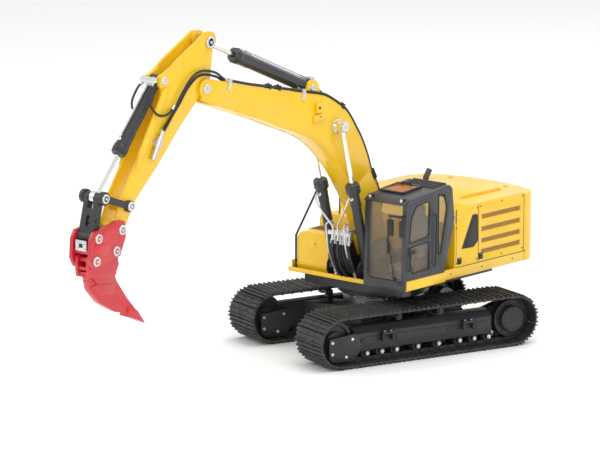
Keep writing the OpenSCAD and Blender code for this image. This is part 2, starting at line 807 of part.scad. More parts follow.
// Piston rod drawn from the piston at z = start to the eye centre at z = length
module rod(start, length, piston_r, eye_r, eye_hw, bore_r) {
    difference() {
        union() {
            translate([0, 0, start]) cylinder(r = piston_r, h = 6);
            translate([0, 0, start]) cylinder(r = rod_r, h = length - start - bore_r);
            translate([-eye_hw, 0, length]) rotate([0, 90, 0]) cylinder(r = eye_r, h = 2 * eye_hw);
        }
        translate([-eye_hw - 1, 0, length]) rotate([0, 90, 0]) cylinder(r = bore_r, h = 2 * eye_hw + 2);
    }
}

boom_barrel_len = 129;
module boom_barrel(side) {
    color("#2e2f33") along(cyl_foot, boom_rod_end, side * boom_cyl_x)
        barrel(boom_barrel_len, boom_barrel_r, boom_barrel_r + 2.6, 5.5, 7.5, 6.6, link_pin_r);
}

// The left rod also carries the cross pin, its spacers and its caps
module boom_rod(side) {
    length = norm(boom_rod_end - cyl_foot);
    color("silver") {
        along(cyl_foot, boom_rod_end, side * boom_cyl_x)
            rod(92, length, boom_barrel_r - 1.7, 8, 5, side < 0 ? main_pin_r + run_fit : main_pin_r);
        if (side > 0) {
            bar_x(boom_rod_end, main_pin_r, -36, 36);
            both_sides() {
                bar_x(boom_rod_end, cap_r + 2, boom_hw + gap, boom_cyl_x - 5.4);
                bar_x(boom_rod_end, 6.6, boom_cyl_x + 5.4, 36.5);
            }
        }
    }
}

stick_barrel_len = 159;
module stick_barrel() {
    color("#2e2f33") along(stick_cyl_foot, stick_rod_end)
        barrel(stick_barrel_len, arm_barrel_r, arm_barrel_r + 0.6, 5.5, 7.5, arm_barrel_r, link_pin_r);
}

module stick_rod() {
    length = norm(stick_rod_end - stick_cyl_foot);
    color("silver") {
        along(stick_cyl_foot, stick_rod_end) rod(116, length, arm_barrel_r - 1.7, 7.6, 6, link_pin_r);
        bar_x(stick_rod_end, link_pin_r, -14, 14);
        both_sides() bar_x(stick_rod_end, cap_r, stick_hw + gap, 15.4);
    }
}

// Stick: hollow tapered box with a slotted tail, cylinder ears and a narrow end
module stick() {
    slot = 7;
    color("gold") difference() {
        union() {
            difference() {
                plate_x(stick_outline, -stick_hw, stick_hw);
                plate_x(inset(stick_outline, box_t), -stick_hw + box_t, stick_hw - box_t);
            }
            bar_x(boom_tip, 13, -stick_hw, stick_hw);
            bar_x(stick_tail, 12, -stick_hw, stick_hw);
            bar_x(side_link_foot, 9, -stick_hw, stick_hw);
            bar_x(stick_end, 10, -stick_hw, stick_hw);
            both_sides() plate_x([[-452, 443], [-462, 438], [-474, 434], [-474, 422], [-470, 416], [-450, 420]],
                8, stick_hw);
            bar_x(bucket_cyl_foot, 8, -stick_hw, stick_hw);
        }
        block([-slot, -394, 452], [slot, -350, 500]);
        plate_x([[-500, 400], [-472, 400], [-455, 420], [-455, 450], [-500, 450]], -slot - 1, slot + 1);
        bar_x(boom_tip, main_pin_r + run_fit, -40, 40);
        bar_x(stick_tail, link_pin_r + loop_slack, -40, 40);
        bar_x(bucket_cyl_foot, link_pin_r + 0.02, -40, 40);
        bar_x(side_link_foot, link_pin_r + 0.02, -40, 40);
        bar_x(stick_end, link_pin_r + 0.02, -40, 40);
    }
}

// Quick connector for the auxiliary hoses, with its stub and the stick's fixed pins
module aux_coupling() {
    from = [-478, 356];
    to = [-494, 326];
    color("silver") {
        along(from, to, stick_hw + 5) {
            translate([0, 0, -8]) cylinder(r = 3, h = 8);
            cylinder(r = 4.8, h = 6);
            translate([0, 0, 6]) cylinder(r = 5, h = 9);
            translate([0, 0, 15]) cylinder(r = 3.8, h = 16);
        }
        block([stick_hw, -488, 346], [stick_hw + 1.6, -476, 354]);
        bar_x(bucket_cyl_foot, link_pin_r, -stick_hw - 1, stick_hw + 1);
        bar_x(side_link_foot, link_pin_r, -19.4, 19.4);
        bar_x(stick_end, link_pin_r, -19.4, 19.4);
        both_sides() {
            bar_x(bucket_cyl_foot, 5, stick_hw, stick_hw + 2);
            bar_x(side_link_foot, 6.2, 19.2, 21);
            bar_x(stick_end, 6.2, 19.2, 21);
        }
    }
}

bucket_barrel_len = 113;
module bucket_barrel() {
    color("#2e2f33") along(bucket_cyl_foot, bucket_rod_end)
        barrel(bucket_barrel_len, arm_barrel_r - 0.4, arm_barrel_r + 0.3, 24, 7, 7.4, link_pin_r);
}

module bucket_rod() {
    length = norm(bucket_rod_end - bucket_cyl_foot);
    color("silver") along(bucket_cyl_foot, bucket_rod_end)
        rod(75, length, arm_barrel_r - 2.1, link_pin_r + bucket_slack + 2.4, 4, link_pin_r + bucket_slack);
}

// Two outer link plates and the pin that they share with the rod and the H link
module side_links() {
    color("#1d1e20") both_sides() difference() {
        union() {
            bar_x(side_link_foot, 7.6, stick_hw + gap, 19);
            bar_x(side_link_pin, 9, stick_hw + gap, 19);
            along(side_link_foot, side_link_pin, (stick_hw + gap + 19) / 2)
                translate([-2.4, -4.5, 0]) cube([4.8, 9, norm(side_link_pin - side_link_foot)]);
        }
        bar_x(side_link_foot, link_pin_r + run_fit, 0, 30);
        bar_x(side_link_pin, link_pin_r + 0.02, 0, 30);
    }
    color("silver") {
        bar_x(side_link_pin, link_pin_r, -19, 19);
        both_sides() bar_x(side_link_pin, 6.2, 19, 21);
    }
}

// Fork link from the rod pin down to the coupler, with a window between its legs
module h_link() {
    leg_in = 5;
    leg_out = 12.6;
    slack = link_pin_r + 1.2;
    length = norm(coupler_pin - h_link_pin);
    color("#1d1e20") difference() {
        union() {
            bar_x(h_link_pin, slack + 3.4, -leg_out, leg_out);
            bar_x(coupler_pin, 7.4, -leg_out, leg_out);
            along(coupler_pin, h_link_pin) translate([-leg_out + 0.4, -5.2, 4.4])
                cube([2 * leg_out - 0.8, 10.4, length - 9.4]);
        }
        along(coupler_pin, h_link_pin) {
            translate([-leg_in, -20, length - 14]) cube([2 * leg_in, 40, length]);
            translate([-3, -20, 16]) cube([6, 40, 9]);
            for (z = [16, 25]) translate([0, -20, z]) rotate([-90, 0, 0]) cylinder(r = 3, h = 40);
        }
        bar_x(h_link_pin, slack, -20, 20);
        bar_x(coupler_pin, link_pin_r + run_fit, -20, 20);
    }
}

// Red quick coupler: two ear plates, top box, its own pins and the lock bar
module quick_coupler() {
    ear_in = stick_hw + gap;
    ear_out = 19;
    ear = [
        [-547, 257], [-562, 259], [-590, 252], [-604, 250], [-610, 240], [-612, 214], [-606, 202],
        [-592, 204], [-570, 210], [-556, 212], [-545, 236]
    ];
    color("red") difference() {
        union() {
            both_sides() plate_x(ear, ear_in, ear_out);
            plate_x([[-572, 226], [-590, 228], [-606, 226], [-606, 220], [-590, 219], [-574, 216]],
                -ear_in, ear_in);
        }
        bar_x(stick_end, link_pin_r + run_fit, -30, 30);
        bar_x(coupler_pin, link_pin_r + 0.02, -30, 30);
        for (p = ripper_pins) bar_x(p, link_pin_r + 0.02, -30, 30);
    }
    color("silver") {
        bar_x(coupler_pin, link_pin_r, -ear_out - 0.5, ear_out + 0.5);
        both_sides() bar_x(coupler_pin, 6.2, ear_out, ear_out + 2);
    }
}

// Red ripper: ear plates, head box, curved shank and tooth
module ripper() {
    ear_hw = 12.4;
    color("red") difference() {
        union() {
            both_sides() plate_x([
                [-556, 222], [-560, 228], [-566, 228], [-574, 214.5], [-590, 203], [-602, 219.5],
                [-608, 216], [-608, 206], [-606, 190], [-560, 184], [-552, 200]
            ], ear_hw - 5, ear_hw);
            plate_x([[-606, 190], [-604, 196], [-590, 199], [-560, 198], [-556, 190], [-560, 184]],
                -ear_hw, ear_hw);
            plate_x([
                [-604, 196], [-560, 198], [-548, 176], [-530, 152], [-512, 132], [-500, 116], [-497, 113],
                [-502, 121], [-524, 129], [-552, 136], [-580, 152], [-598, 172]
            ], -5, 5);
            plate_x([[-512, 132], [-497, 112], [-504, 116], [-530, 126], [-528, 138]], -7.5, 7.5);
        }
        for (p = ripper_pins) bar_x(p, link_pin_r + 0.02, -30, 30);
    }
    color("silver") for (p = ripper_pins) {
        bar_x(p, link_pin_r, -19.5, 19.5);
        both_sides() bar_x(p, 6.2, 19.1, 21);
    }
}

carbody();
left_track() side_frame();  // side_frame_left
right_track() side_frame();  // side_frame_right
left_track() track_links();  // track_links_left
right_track() track_links();  // track_links_right
left_track() track_shoes();  // track_shoes_left
right_track() track_shoes();  // track_shoes_right
left_track() bottom_rollers();  // bottom_rollers_left
right_track() bottom_rollers();  // bottom_rollers_right
swing_ring_lower();
left_track() sprocket();  // sprocket_left
right_track() sprocket();  // sprocket_right
union() {  // travel_motors
    left_track() travel_motor();
    right_track() travel_motor();
}
left_track() idler();  // idler_left
right_track() idler();  // idler_right
left_track() carrier_roller(0);  // carrier_roller_front_left
left_track() carrier_roller(1);  // carrier_roller_rear_left
right_track() carrier_roller(0);  // carrier_roller_front_right
right_track() carrier_roller(1);  // carrier_roller_rear_right
main_frame();
deck_skirts();
swing_ring_upper();
counterweight();
engine_hood();
side_panel_left();
side_panel_right();
grille_meshes();
door_latches();
fuel_tank_box();
cab_frame();
cab_glass();
cab_door();
cab_door_glass();
roof_hatch();
seat();
control_consoles();
exhaust_pipe();
handrails();
mirrors();
swing_motor();
pump_motor();
battery_pack();
foot_pins();
boom();
boom_pins();
boom_manifold();
boom_barrel(1);  // boom_barrel_left
boom_barrel(-1);  // boom_barrel_right
boom_rod(1);  // boom_rod_left
boom_rod(-1);  // boom_rod_right
stick_barrel();
stick_rod();
stick();
aux_coupling();
bucket_barrel();
bucket_rod();
side_links();
h_link();
quick_coupler();
ripper();
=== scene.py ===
"""Looks of the radio-controlled crawler excavator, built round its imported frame."""

from __future__ import annotations

import json
import logging
import math
from dataclasses import dataclass, field
from enum import Enum
from typing import Iterable, Sequence

import bmesh
import bpy
from mathutils import Matrix, Vector

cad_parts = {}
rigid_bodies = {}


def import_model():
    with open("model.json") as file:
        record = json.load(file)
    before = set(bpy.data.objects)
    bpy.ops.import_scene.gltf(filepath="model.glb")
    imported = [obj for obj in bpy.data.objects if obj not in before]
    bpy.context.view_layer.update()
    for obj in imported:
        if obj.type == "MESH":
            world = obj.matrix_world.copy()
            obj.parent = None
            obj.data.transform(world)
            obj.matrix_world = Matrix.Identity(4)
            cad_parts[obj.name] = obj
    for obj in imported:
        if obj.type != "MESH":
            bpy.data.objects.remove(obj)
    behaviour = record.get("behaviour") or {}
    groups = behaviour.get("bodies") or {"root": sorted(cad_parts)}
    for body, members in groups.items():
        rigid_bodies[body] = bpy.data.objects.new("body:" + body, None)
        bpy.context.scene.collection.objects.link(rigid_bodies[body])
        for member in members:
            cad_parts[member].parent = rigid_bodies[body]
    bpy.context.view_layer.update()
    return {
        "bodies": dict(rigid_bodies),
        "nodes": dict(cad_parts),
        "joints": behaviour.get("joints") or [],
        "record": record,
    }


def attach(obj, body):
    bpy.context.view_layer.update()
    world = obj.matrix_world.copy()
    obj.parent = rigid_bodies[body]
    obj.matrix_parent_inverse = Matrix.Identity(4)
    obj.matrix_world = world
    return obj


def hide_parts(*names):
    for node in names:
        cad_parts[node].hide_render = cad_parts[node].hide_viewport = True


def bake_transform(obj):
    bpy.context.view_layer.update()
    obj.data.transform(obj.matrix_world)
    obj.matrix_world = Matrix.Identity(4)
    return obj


LOG = logging.getLogger("excavator")
MM = 0.001
Side = tuple[float, float]
Colour = tuple[float, float, float]


class Slot(Enum):
    """Material slots of the record."""

    YELLOW = "yellow_paint"
    FRAME = "black_frame"
    TRACK = "track_steel"
    ROLLER = "roller_steel"
    BEARING = "bearing_steel"
    MOTOR = "motor_metal"
    BRONZE = "bronze_mesh"
    TRIM = "black_trim"
    CAB = "cab_grey"
    GLASS = "tinted_glass"
    AMBER = "amber_glass"
    SEAT = "seat_grey"
    EXHAUST = "exhaust_grey"
    BATTERY = "battery_wrap"
    SILVER = "silver_pins"
    BARREL = "barrel_black"
    CHROME = "rod_chrome"
    LINK = "link_black"
    RED = "red_paint"


class Graph:
    """Node tree of one material, with a Principled shader and object coordinates."""

    def __init__(self, name: str) -> None:
        """Starts an empty tree."""
        self.material = bpy.data.materials.new(name)
        self.material.use_nodes = True
        self.nodes = self.material.node_tree.nodes
        self.links = self.material.node_tree.links
        self.nodes.clear()
        self.out = self.nodes.new("ShaderNodeOutputMaterial")
        self.shader = self.nodes.new("ShaderNodeBsdfPrincipled")
        self.links.new(self.shader.outputs[0], self.out.inputs["Surface"])
        self.where = self.nodes.new("ShaderNodeTexCoord").outputs["Object"]

    def noise(self, scale: float, detail: float = 3.0) -> bpy.types.NodeSocket:
        """Noise over the object, as its factor socket."""
        node = self.nodes.new("ShaderNodeTexNoise")
        node.inputs["Scale"].default_value = scale
        node.inputs["Detail"].default_value = detail
        self.links.new(self.where, node.inputs["Vector"])
        return node.outputs["Fac"]

    def spread(self, value: bpy.types.NodeSocket, source: Side, target: Side) -> bpy.types.NodeSocket:
        """Maps a value from one range to another, clamped.

        Args:
            value: The socket to map.
            source: Range of the input.
            target: Range of the result.

        Returns:
            The result's socket.
        """
        node = self.nodes.new("ShaderNodeMapRange")
        self.links.new(value, node.inputs["Value"])
        for name, number in zip(("From Min", "From Max", "To Min", "To Max"), (*source, *target)):
            node.inputs[name].default_value = number
        return node.outputs["Result"]

    def maths(self, kind: str, a: bpy.types.NodeSocket, b: bpy.types.NodeSocket | float) -> bpy.types.NodeSocket:
        """Joins two values by one operation.

        Args:
            kind: Name of the operation.
            a: First value.
            b: Second value, a socket or a number.

        Returns:
            The result's socket.
        """
        node = self.nodes.new("ShaderNodeMath")
        node.operation = kind
        self.links.new(a, node.inputs[0])
        if isinstance(b, (int, float)):
            node.inputs[1].default_value = b
        else:
            self.links.new(b, node.inputs[1])
        return node.outputs[0]

    def blend(self, share: bpy.types.NodeSocket, a: object, b: Colour) -> bpy.types.NodeSocket:
        """Mixes two colours.

        Args:
            share: How much of b shows.
            a: First colour, as numbers or as a socket.
            b: Second colour.

        Returns:
            The mixed colour's socket.
        """
        node = self.nodes.new("ShaderNodeMix")
        node.data_type = "RGBA"
        self.links.new(share, node.inputs["Factor"])
        first, second = node.inputs[6], node.inputs[7]
        if isinstance(a, tuple):
            first.default_value = (*a, 1.0)
        else:
            self.links.new(a, first)
        second.default_value = (*b, 1.0)
        return node.outputs[2]

    def rounded(self, radius: float) -> bpy.types.NodeSocket:
        """Surface normal with its edges rounded to a radius in metres."""
        node = self.nodes.new("ShaderNodeBevel")
        node.samples = 4
        node.inputs["Radius"].default_value = radius
        return node.outputs["Normal"]

    def edge_mask(self, normal: bpy.types.NodeSocket) -> bpy.types.NodeSocket:
        """How far the rounded normal leans away from the face, 0 on flats and up to 1 on edges."""
        face = self.nodes.new("ShaderNodeNewGeometry")
        node = self.nodes.new("ShaderNodeVectorMath")
        node.operation = "DOT_PRODUCT"
        self.links.new(normal, node.inputs[0])
        self.links.new(face.outputs["Normal"], node.inputs[1])
        return self.spread(node.outputs["Value"], (0.99, 0.84), (0.0, 1.0))

    def bump(self, height: bpy.types.NodeSocket, depth: float, normal: bpy.types.NodeSocket | None = None) -> None:
        """Raises the surface by a height socket.

        Args:
            height: Height from 0 to 1.
            depth: Depth of the relief in metres.
            normal: Normal that the relief starts from.
        """
        node = self.nodes.new("ShaderNodeBump")
        node.inputs["Strength"].default_value = 1.0
        node.inputs["Distance"].default_value = depth
        self.links.new(height, node.inputs["Height"])
        if normal is not None:
            self.links.new(normal, node.inputs["Normal"])
        self.links.new(node.outputs["Normal"], self.shader.inputs["Normal"])


@dataclass(frozen=True)
class Finish:
    """A painted, cast or turned surface with mottling, grain and worn edges."""

    name: str
    colour: Colour
    rough: float
    metal: float = 0.0
    coat: float = 0.0
    shade: float = 0.82
    patch: float = 22.0
    grain: float = 1400.0
    relief: float = 0.00001
    wear: float = 0.0
    worn: Colour = (0.5, 0.5, 0.5)
    edge: float = 0.0004

    def make(self) -> bpy.types.Material:
        """Builds the material."""
        graph = Graph(self.name)
        shader = graph.shader
        dark = tuple(c * self.shade for c in self.colour)
        patches = graph.spread(graph.noise(self.patch), (0.35, 0.7), (0.0, 1.0))
        colour = graph.blend(patches, self.colour, dark)
        fine = graph.noise(self.grain, 2.0)
        normal = graph.rounded(self.edge)
        if self.wear > 0:
            rubbed = graph.spread(graph.noise(160.0, 4.0), (0.42, 0.62), (0.0, self.wear))
            colour = graph.blend(graph.maths("MULTIPLY", graph.edge_mask(normal), rubbed), colour, self.worn)
        graph.links.new(colour, shader.inputs["Base Color"])
        smear = graph.maths("ADD", graph.maths("MULTIPLY", fine, 0.5), graph.maths("MULTIPLY", patches, 0.5))
        low, high = max(0.02, self.rough - 0.07), min(1.0, self.rough + 0.09)
        graph.links.new(graph.spread(smear, (0.2, 0.8), (low, high)), shader.inputs["Roughness"])
        shader.inputs["Metallic"].default_value = self.metal
        shader.inputs["Coat Weight"].default_value = self.coat
        shader.inputs["Coat Roughness"].default_value = 0.12
        graph.bump(fine, self.relief, normal)
        return graph.material


@dataclass(frozen=True)
class Glazing:
    """A clear tinted sheet with faint smears."""

    name: str
    colour: Colour
    clear: float
    rough: float = 0.03

    def make(self) -> bpy.types.Material:
        """Builds the material."""
        graph = Graph(self.name)
        shader = graph.shader
        smears = graph.noise(60.0, 4.0)
        dark = tuple(c * 0.88 for c in self.colour)
        tint = graph.blend(graph.spread(smears, (0.4, 0.7), (0.0, 1.0)), self.colour, dark)
        graph.links.new(tint, shader.inputs["Base Color"])
        graph.links.new(graph.spread(smears, (0.3, 0.8), (self.rough, self.rough + 0.08)), shader.inputs["Roughness"])
        shader.inputs["Transmission Weight"].default_value = 0.0
        shader.inputs["Alpha"].default_value = 1.0 - self.clear
        shader.inputs["IOR"].default_value = 1.46
        graph.bump(graph.noise(35.0, 1.0), 0.00002)
        return graph.material


@dataclass(frozen=True)
class Weave:
    """A fine woven wire cloth, its wires crossing in the plane of a side panel, with painted shade in the holes
    between them.
    """

    name: str
    wire: Colour
    # gap: colour of the holes, painted shade of the hollow behind the cloth
    gap: Colour
    pitch: float = 0.0013

    def make(self) -> bpy.types.Material:
        """Builds the material."""
        graph = Graph(self.name)
        shader = graph.shader
        waves = []
        for turn in (math.pi / 4, -math.pi / 4):
            place = graph.nodes.new("ShaderNodeMapping")
            place.inputs["Rotation"].default_value = (turn, 0.0, 0.0)
            graph.links.new(graph.where, place.inputs["Vector"])
            wave = graph.nodes.new("ShaderNodeTexWave")
            wave.bands_direction = "Y"
            wave.inputs["Scale"].default_value = 0.314 / self.pitch
            wave.inputs["Distortion"].default_value = 0.0
            graph.links.new(place.outputs["Vector"], wave.inputs["Vector"])
            waves.append(wave.outputs["Fac"])
        cloth = graph.maths("MAXIMUM", waves[0], waves[1])
        tarnish = graph.spread(graph.noise(90.0), (0.3, 0.7), (0.0, 0.35))
        colour = graph.blend(tarnish, self.wire, tuple(c * 0.5 for c in self.wire))
        # Between the wires the cloth takes the gap colour: painted shade of the hollow behind it.
        hole_shade = graph.spread(cloth, (0.75, 0.45), (0.0, 1.0))
        graph.links.new(graph.blend(hole_shade, colour, self.gap), shader.inputs["Base Color"])
        graph.links.new(graph.spread(cloth, (0.4, 0.9), (0.7, 0.38)), shader.inputs["Roughness"])
        shader.inputs["Metallic"].default_value = 0.35
        graph.bump(cloth, 0.0002)
        return graph.material


YELLOW: Colour = (0.88, 0.545, 0.006)
BLACK: Colour = (0.03, 0.031, 0.034)

FINISHES: dict[Slot, Finish | Glazing | Weave] = {
    Slot.YELLOW: Finish("yellow_enamel", YELLOW, 0.34, coat=0.35, shade=0.93, wear=0.25, worn=(0.98, 0.76, 0.25)),
    Slot.FRAME: Finish("black_frame_paint", BLACK, 0.5, shade=0.7, wear=0.5, worn=(0.1, 0.1, 0.1)),
    Slot.TRACK: Finish("blackened_cast", (0.055, 0.054, 0.053), 0.5, metal=0.3, patch=70.0, shade=0.6,
                       grain=2200.0, relief=0.00004, wear=0.9, worn=(0.2, 0.2, 0.19), edge=0.0003),
    Slot.ROLLER: Finish("black_roller_paint", (0.028, 0.028, 0.03), 0.42, metal=0.2, wear=0.6, worn=(0.2, 0.2, 0.2)),
    Slot.BEARING: Finish("machined_ring", (0.14, 0.14, 0.145), 0.35, metal=0.85),
    Slot.MOTOR: Finish("cast_motor_can", (0.16, 0.16, 0.17), 0.45, metal=0.7, relief=0.00004),
    # The second colour of the bronze cloth is painted shade in its holes.
    Slot.BRONZE: Weave("bronze_cloth", (0.5, 0.27, 0.055), (0.16, 0.085, 0.02)),
    Slot.TRIM: Finish("matt_black_trim", (0.018, 0.018, 0.02), 0.55, relief=0.00002),
    Slot.CAB: Finish("charcoal_enamel", (0.05, 0.051, 0.056), 0.42, shade=0.8, wear=0.35, worn=(0.16, 0.16, 0.17)),
    Slot.GLASS: Glazing("tinted_sheet", (0.4, 0.33, 0.24), 0.8),
    Slot.AMBER: Glazing("amber_sheet", (0.62, 0.2, 0.02), 0.4),
    Slot.SEAT: Finish("grey_moulded_seat", (0.24, 0.25, 0.27), 0.6, relief=0.00005, grain=900.0),
    Slot.EXHAUST: Finish("heat_grey", (0.075, 0.075, 0.08), 0.5, metal=0.4, patch=60.0, shade=0.7),
    Slot.BATTERY: Finish("cell_wrap", (0.03, 0.08, 0.26), 0.3, relief=0.00002),
    Slot.SILVER: Finish("turned_silver", (0.72, 0.72, 0.73), 0.3, metal=0.85, shade=0.88, edge=0.0003),
    Slot.BARREL: Finish("satin_black_tube", (0.03, 0.031, 0.034), 0.4, coat=0.1, wear=0.3, worn=(0.14, 0.14, 0.15)),
    Slot.CHROME: Finish("polished_rod", (0.83, 0.83, 0.84), 0.1, metal=1.0, shade=0.94, relief=0.000003),
    Slot.LINK: Finish("black_link_paint", (0.028, 0.028, 0.03), 0.42, wear=0.5, worn=(0.16, 0.16, 0.16)),
    Slot.RED: Finish("gloss_red_enamel", (0.6, 0.012, 0.02), 0.3, coat=0.5, shade=0.85, wear=0.3,
                     worn=(0.85, 0.16, 0.14)),
}


class Extra(Enum):
    """Finishes of small parts that take no slot of the record."""

    RUBBER = "black_rubber"
    SEAM_SHADOW = "shadow_seam"
    LENS = "red_lens"
    CLEAR = "clear_lens"
    MIRROR = "mirror_face"


EXTRAS: dict[Extra, Finish | Glazing] = {
    Extra.RUBBER: Finish("hose_rubber", (0.016, 0.016, 0.017), 0.48, relief=0.00003, grain=2600.0),
    # panel_shadow: dark brown painted shadow for the gaps between panels.
    Extra.SEAM_SHADOW: Finish("panel_shadow", (0.05, 0.03, 0.005), 0.8),
    Extra.LENS: Finish("red_lamp_lens", (0.5, 0.01, 0.01), 0.12, coat=0.8, relief=0.00002),
    Extra.CLEAR: Finish("clear_lamp_lens", (0.75, 0.75, 0.72), 0.1, coat=0.8),
    Extra.MIRROR: Finish("mirror_plate", (0.8, 0.8, 0.82), 0.05, metal=1.0, relief=0.000001),
}

_MADE: dict[str, bpy.types.Material] = {}


def material_of(finish: Slot | Extra) -> bpy.types.Material:
    """Material of a finish, made once.

    Args:
        finish: The slot or extra finish wanted.

    Returns:
        Its material.
    """
    if finish.value not in _MADE:
        recipe = FINISHES[finish] if isinstance(finish, Slot) else EXTRAS[finish]
        _MADE[finish.value] = recipe.make()
    return _MADE[finish.value]


# ---------------------------------------------------------------- shapes, in millimetres


def at(p: Side, x: float) -> Vector:
    """Point of the side view p, at the place x across."""
    return Vector((x, p[0], p[1]))


def lerp(a: Side, b: Side, share: float) -> Side:
    """Point between a and b."""
    return a[0] + (b[0] - a[0]) * share, a[1] + (b[1] - a[1]) * share


def soften(bm: bmesh.types.BMesh, width: float, segments: int = 2, angle: float = 30.0, shortest: float = 0.0) -> None:
    """Rounds the sharp edges of a mesh.

    Args:
        bm: The mesh.
        width: Width of the rounding.
        segments: Steps in the rounding.
        angle: Edges turning more than this many degrees are rounded.
        shortest: Edges shorter than this are left.
    """
    limit = math.radians(angle)
    sharp = [
        e for e in bm.edges
        if e.is_manifold and e.calc_face_angle(0.0) > limit and e.calc_length() >= shortest
    ]
    bmesh.ops.bevel(bm, geom=sharp, offset=width, offset_type="OFFSET", segments=segments, profile=0.5,
                    affect="EDGES", clamp_overlap=True, material=-1)


def box(low: Sequence[float], high: Sequence[float], edge: float = 0.4) -> bmesh.types.BMesh:
    """Block between two corners with rounded edges.

    Args:
        low: Lowest corner.
        high: Highest corner.
        edge: Width of the rounding.

    Returns:
        The block.
    """
    bm = bmesh.new()
    bmesh.ops.create_cube(bm, size=1.0)
    size = [b - a for a, b in zip(low, high)]
    mid = [(a + b) / 2 for a, b in zip(low, high)]
    bmesh.ops.scale(bm, vec=size, verts=bm.verts)
    bmesh.ops.translate(bm, vec=mid, verts=bm.verts)
    if edge > 0:
        soften(bm, edge)
    return bm


def turned(profile: Sequence[Side], sides: int = 28) -> bmesh.types.BMesh:
    """Lathe work about Z.

    Args:
        profile: Points as (radius, height), from the lower centre to the upper centre.
        sides: Steps round the axis.

    Returns:
        The turned shape.
    """
    bm = bmesh.new()
    points = [bm.verts.new((r, 0.0, h)) for r, h in profile]
    edges = [bm.edges.new(pair) for pair in zip(points, points[1:])]
    bmesh.ops.spin(bm, geom=points + edges, cent=(0, 0, 0), axis=(0, 0, 1), angle=math.tau, steps=sides,
                   use_merge=True)
    bmesh.ops.remove_doubles(bm, verts=bm.verts, dist=1e-4)
    bmesh.ops.recalc_face_normals(bm, faces=bm.faces)
    return bm


def rod(radius: float, length: float, edge: float = 0.3, sides: int = 24) -> bmesh.types.BMesh:
    """Round bar from the origin up Z, with chamfered ends.

    Args:
        radius: Radius of the bar.
        length: Its length.
        edge: Width of the chamfers.
        sides: Facets round it.

    Returns:
        The bar.
    """
    return turned([(0, 0), (radius - edge, 0), (radius, edge), (radius, length - edge), (radius - edge, length),
                   (0, length)], sides)


def hexagon(radius: float, height: float, washer: float = 0.0) -> bmesh.types.BMesh:
    """Hexagon bolt head standing on z = 0.

    Args:
        radius: Radius over the corners.
        height: Height of the head.
        washer: Radius of a washer under it, or 0.

    Returns:
        The bolt head.
    """
    bm = bmesh.new()
    bmesh.ops.create_cone(bm, cap_ends=True, segments=6, radius1=radius, radius2=radius * 0.9, depth=height)
    bmesh.ops.translate(bm, vec=(0, 0, height / 2), verts=bm.verts)
    if washer > 0:
        bmesh.ops.create_cone(bm, cap_ends=True, segments=14, radius1=washer, radius2=washer, depth=0.4,
                              matrix=Matrix.Translation((0, 0, 0.2)))
    return bm


def plate(outline: Sequence[Side], x0: float, x1: float, edge: float = 0.25) -> bmesh.types.BMesh:
    """Plate cut to a side-view outline.

    Args:
        outline: Corners as (y, z).
        x0: Inner face.
        x1: Outer face.
        edge: Width of the rounded edges.

    Returns:
        The plate.
    """
    bm = bmesh.new()
    face = bm.faces.new([bm.verts.new(at(p, x0)) for p in outline])
    grown = bmesh.ops.extrude_face_region(bm, geom=[face])
    moved = [g for g in grown["geom"] if isinstance(g, bmesh.types.BMVert)]
    bmesh.ops.translate(bm, vec=(x1 - x0, 0, 0), verts=moved)
    bmesh.ops.recalc_face_normals(bm, faces=bm.faces)
    if edge > 0:
        soften(bm, edge, 2, 25.0)
    return bm


def smooth_path(points: Sequence[Vector], step: float = 2.5) -> list[Vector]:
    """Smooth curve through points.

    Args:
        points: Points that the curve passes.
        step: Longest distance between two samples.

    Returns:
        The curve's samples.
    """
    ends = [points[0] * 2 - points[1], *points, points[-1] * 2 - points[-2]]
    line = [points[0].copy()]
    for a, b, c, d in zip(ends, ends[1:], ends[2:], ends[3:]):
        count = max(2, math.ceil((c - b).length / step))
        for i in range(1, count + 1):
            t = i / count
            line.append(0.5 * (2 * b + (c - a) * t + (2 * a - 5 * b + 4 * c - d) * t**2
                               + (3 * b - a - 3 * c + d) * t**3))
    return line


def tube(line: Sequence[Vector], radius: float, sides: int = 12) -> bmesh.types.BMesh:
    """Round tube along a line, with closed ends.

    Args:
        line: Centres of its rings.
        radius: Radius of the tube.
        sides: Facets round it.

    Returns:
        The tube.
    """
    bm = bmesh.new()
    bmesh.ops.create_circle(bm, cap_ends=True, radius=radius, segments=sides)
    ring = [e for e in bm.edges]
    heading = (line[1] - line[0]).normalized()
    turn = Vector((0, 0, 1)).rotation_difference(heading).to_matrix().to_4x4()
    place = Matrix.Translation(line[0]) @ turn
    bmesh.ops.transform(bm, matrix=place, verts=bm.verts)
    for i in range(1, len(line)):
        ahead = line[min(i + 1, len(line) - 1)] - line[i - 1]
        ahead.normalize()
        turn = heading.rotation_difference(ahead).to_matrix().to_4x4() @ turn
        heading = ahead
        grown = bmesh.ops.extrude_edge_only(bm, edges=ring)["geom"]
        ring = [g for g in grown if isinstance(g, bmesh.types.BMEdge)]
        fresh = [g for g in grown if isinstance(g, bmesh.types.BMVert)]
        following = Matrix.Translation(line[i]) @ turn
        bmesh.ops.transform(bm, matrix=following @ place.inverted(), verts=fresh)
        place = following
    bmesh.ops.edgeloop_fill(bm, edges=ring)
    bmesh.ops.recalc_face_normals(bm, faces=bm.faces)
    return bm


def aim(start: Vector, end: Vector) -> Matrix:
    """Frame at start whose Z points at end."""
    way = (end - start).normalized()
    return Matrix.Translation(start) @ Vector((0, 0, 1)).rotation_difference(way).to_matrix().to_4x4()


def facing(p: Side, x: float) -> Matrix:
    """Frame at a side-view point whose Z points outwards across."""
    return aim(at(p, x), at(p, x + math.copysign(1.0, x)))


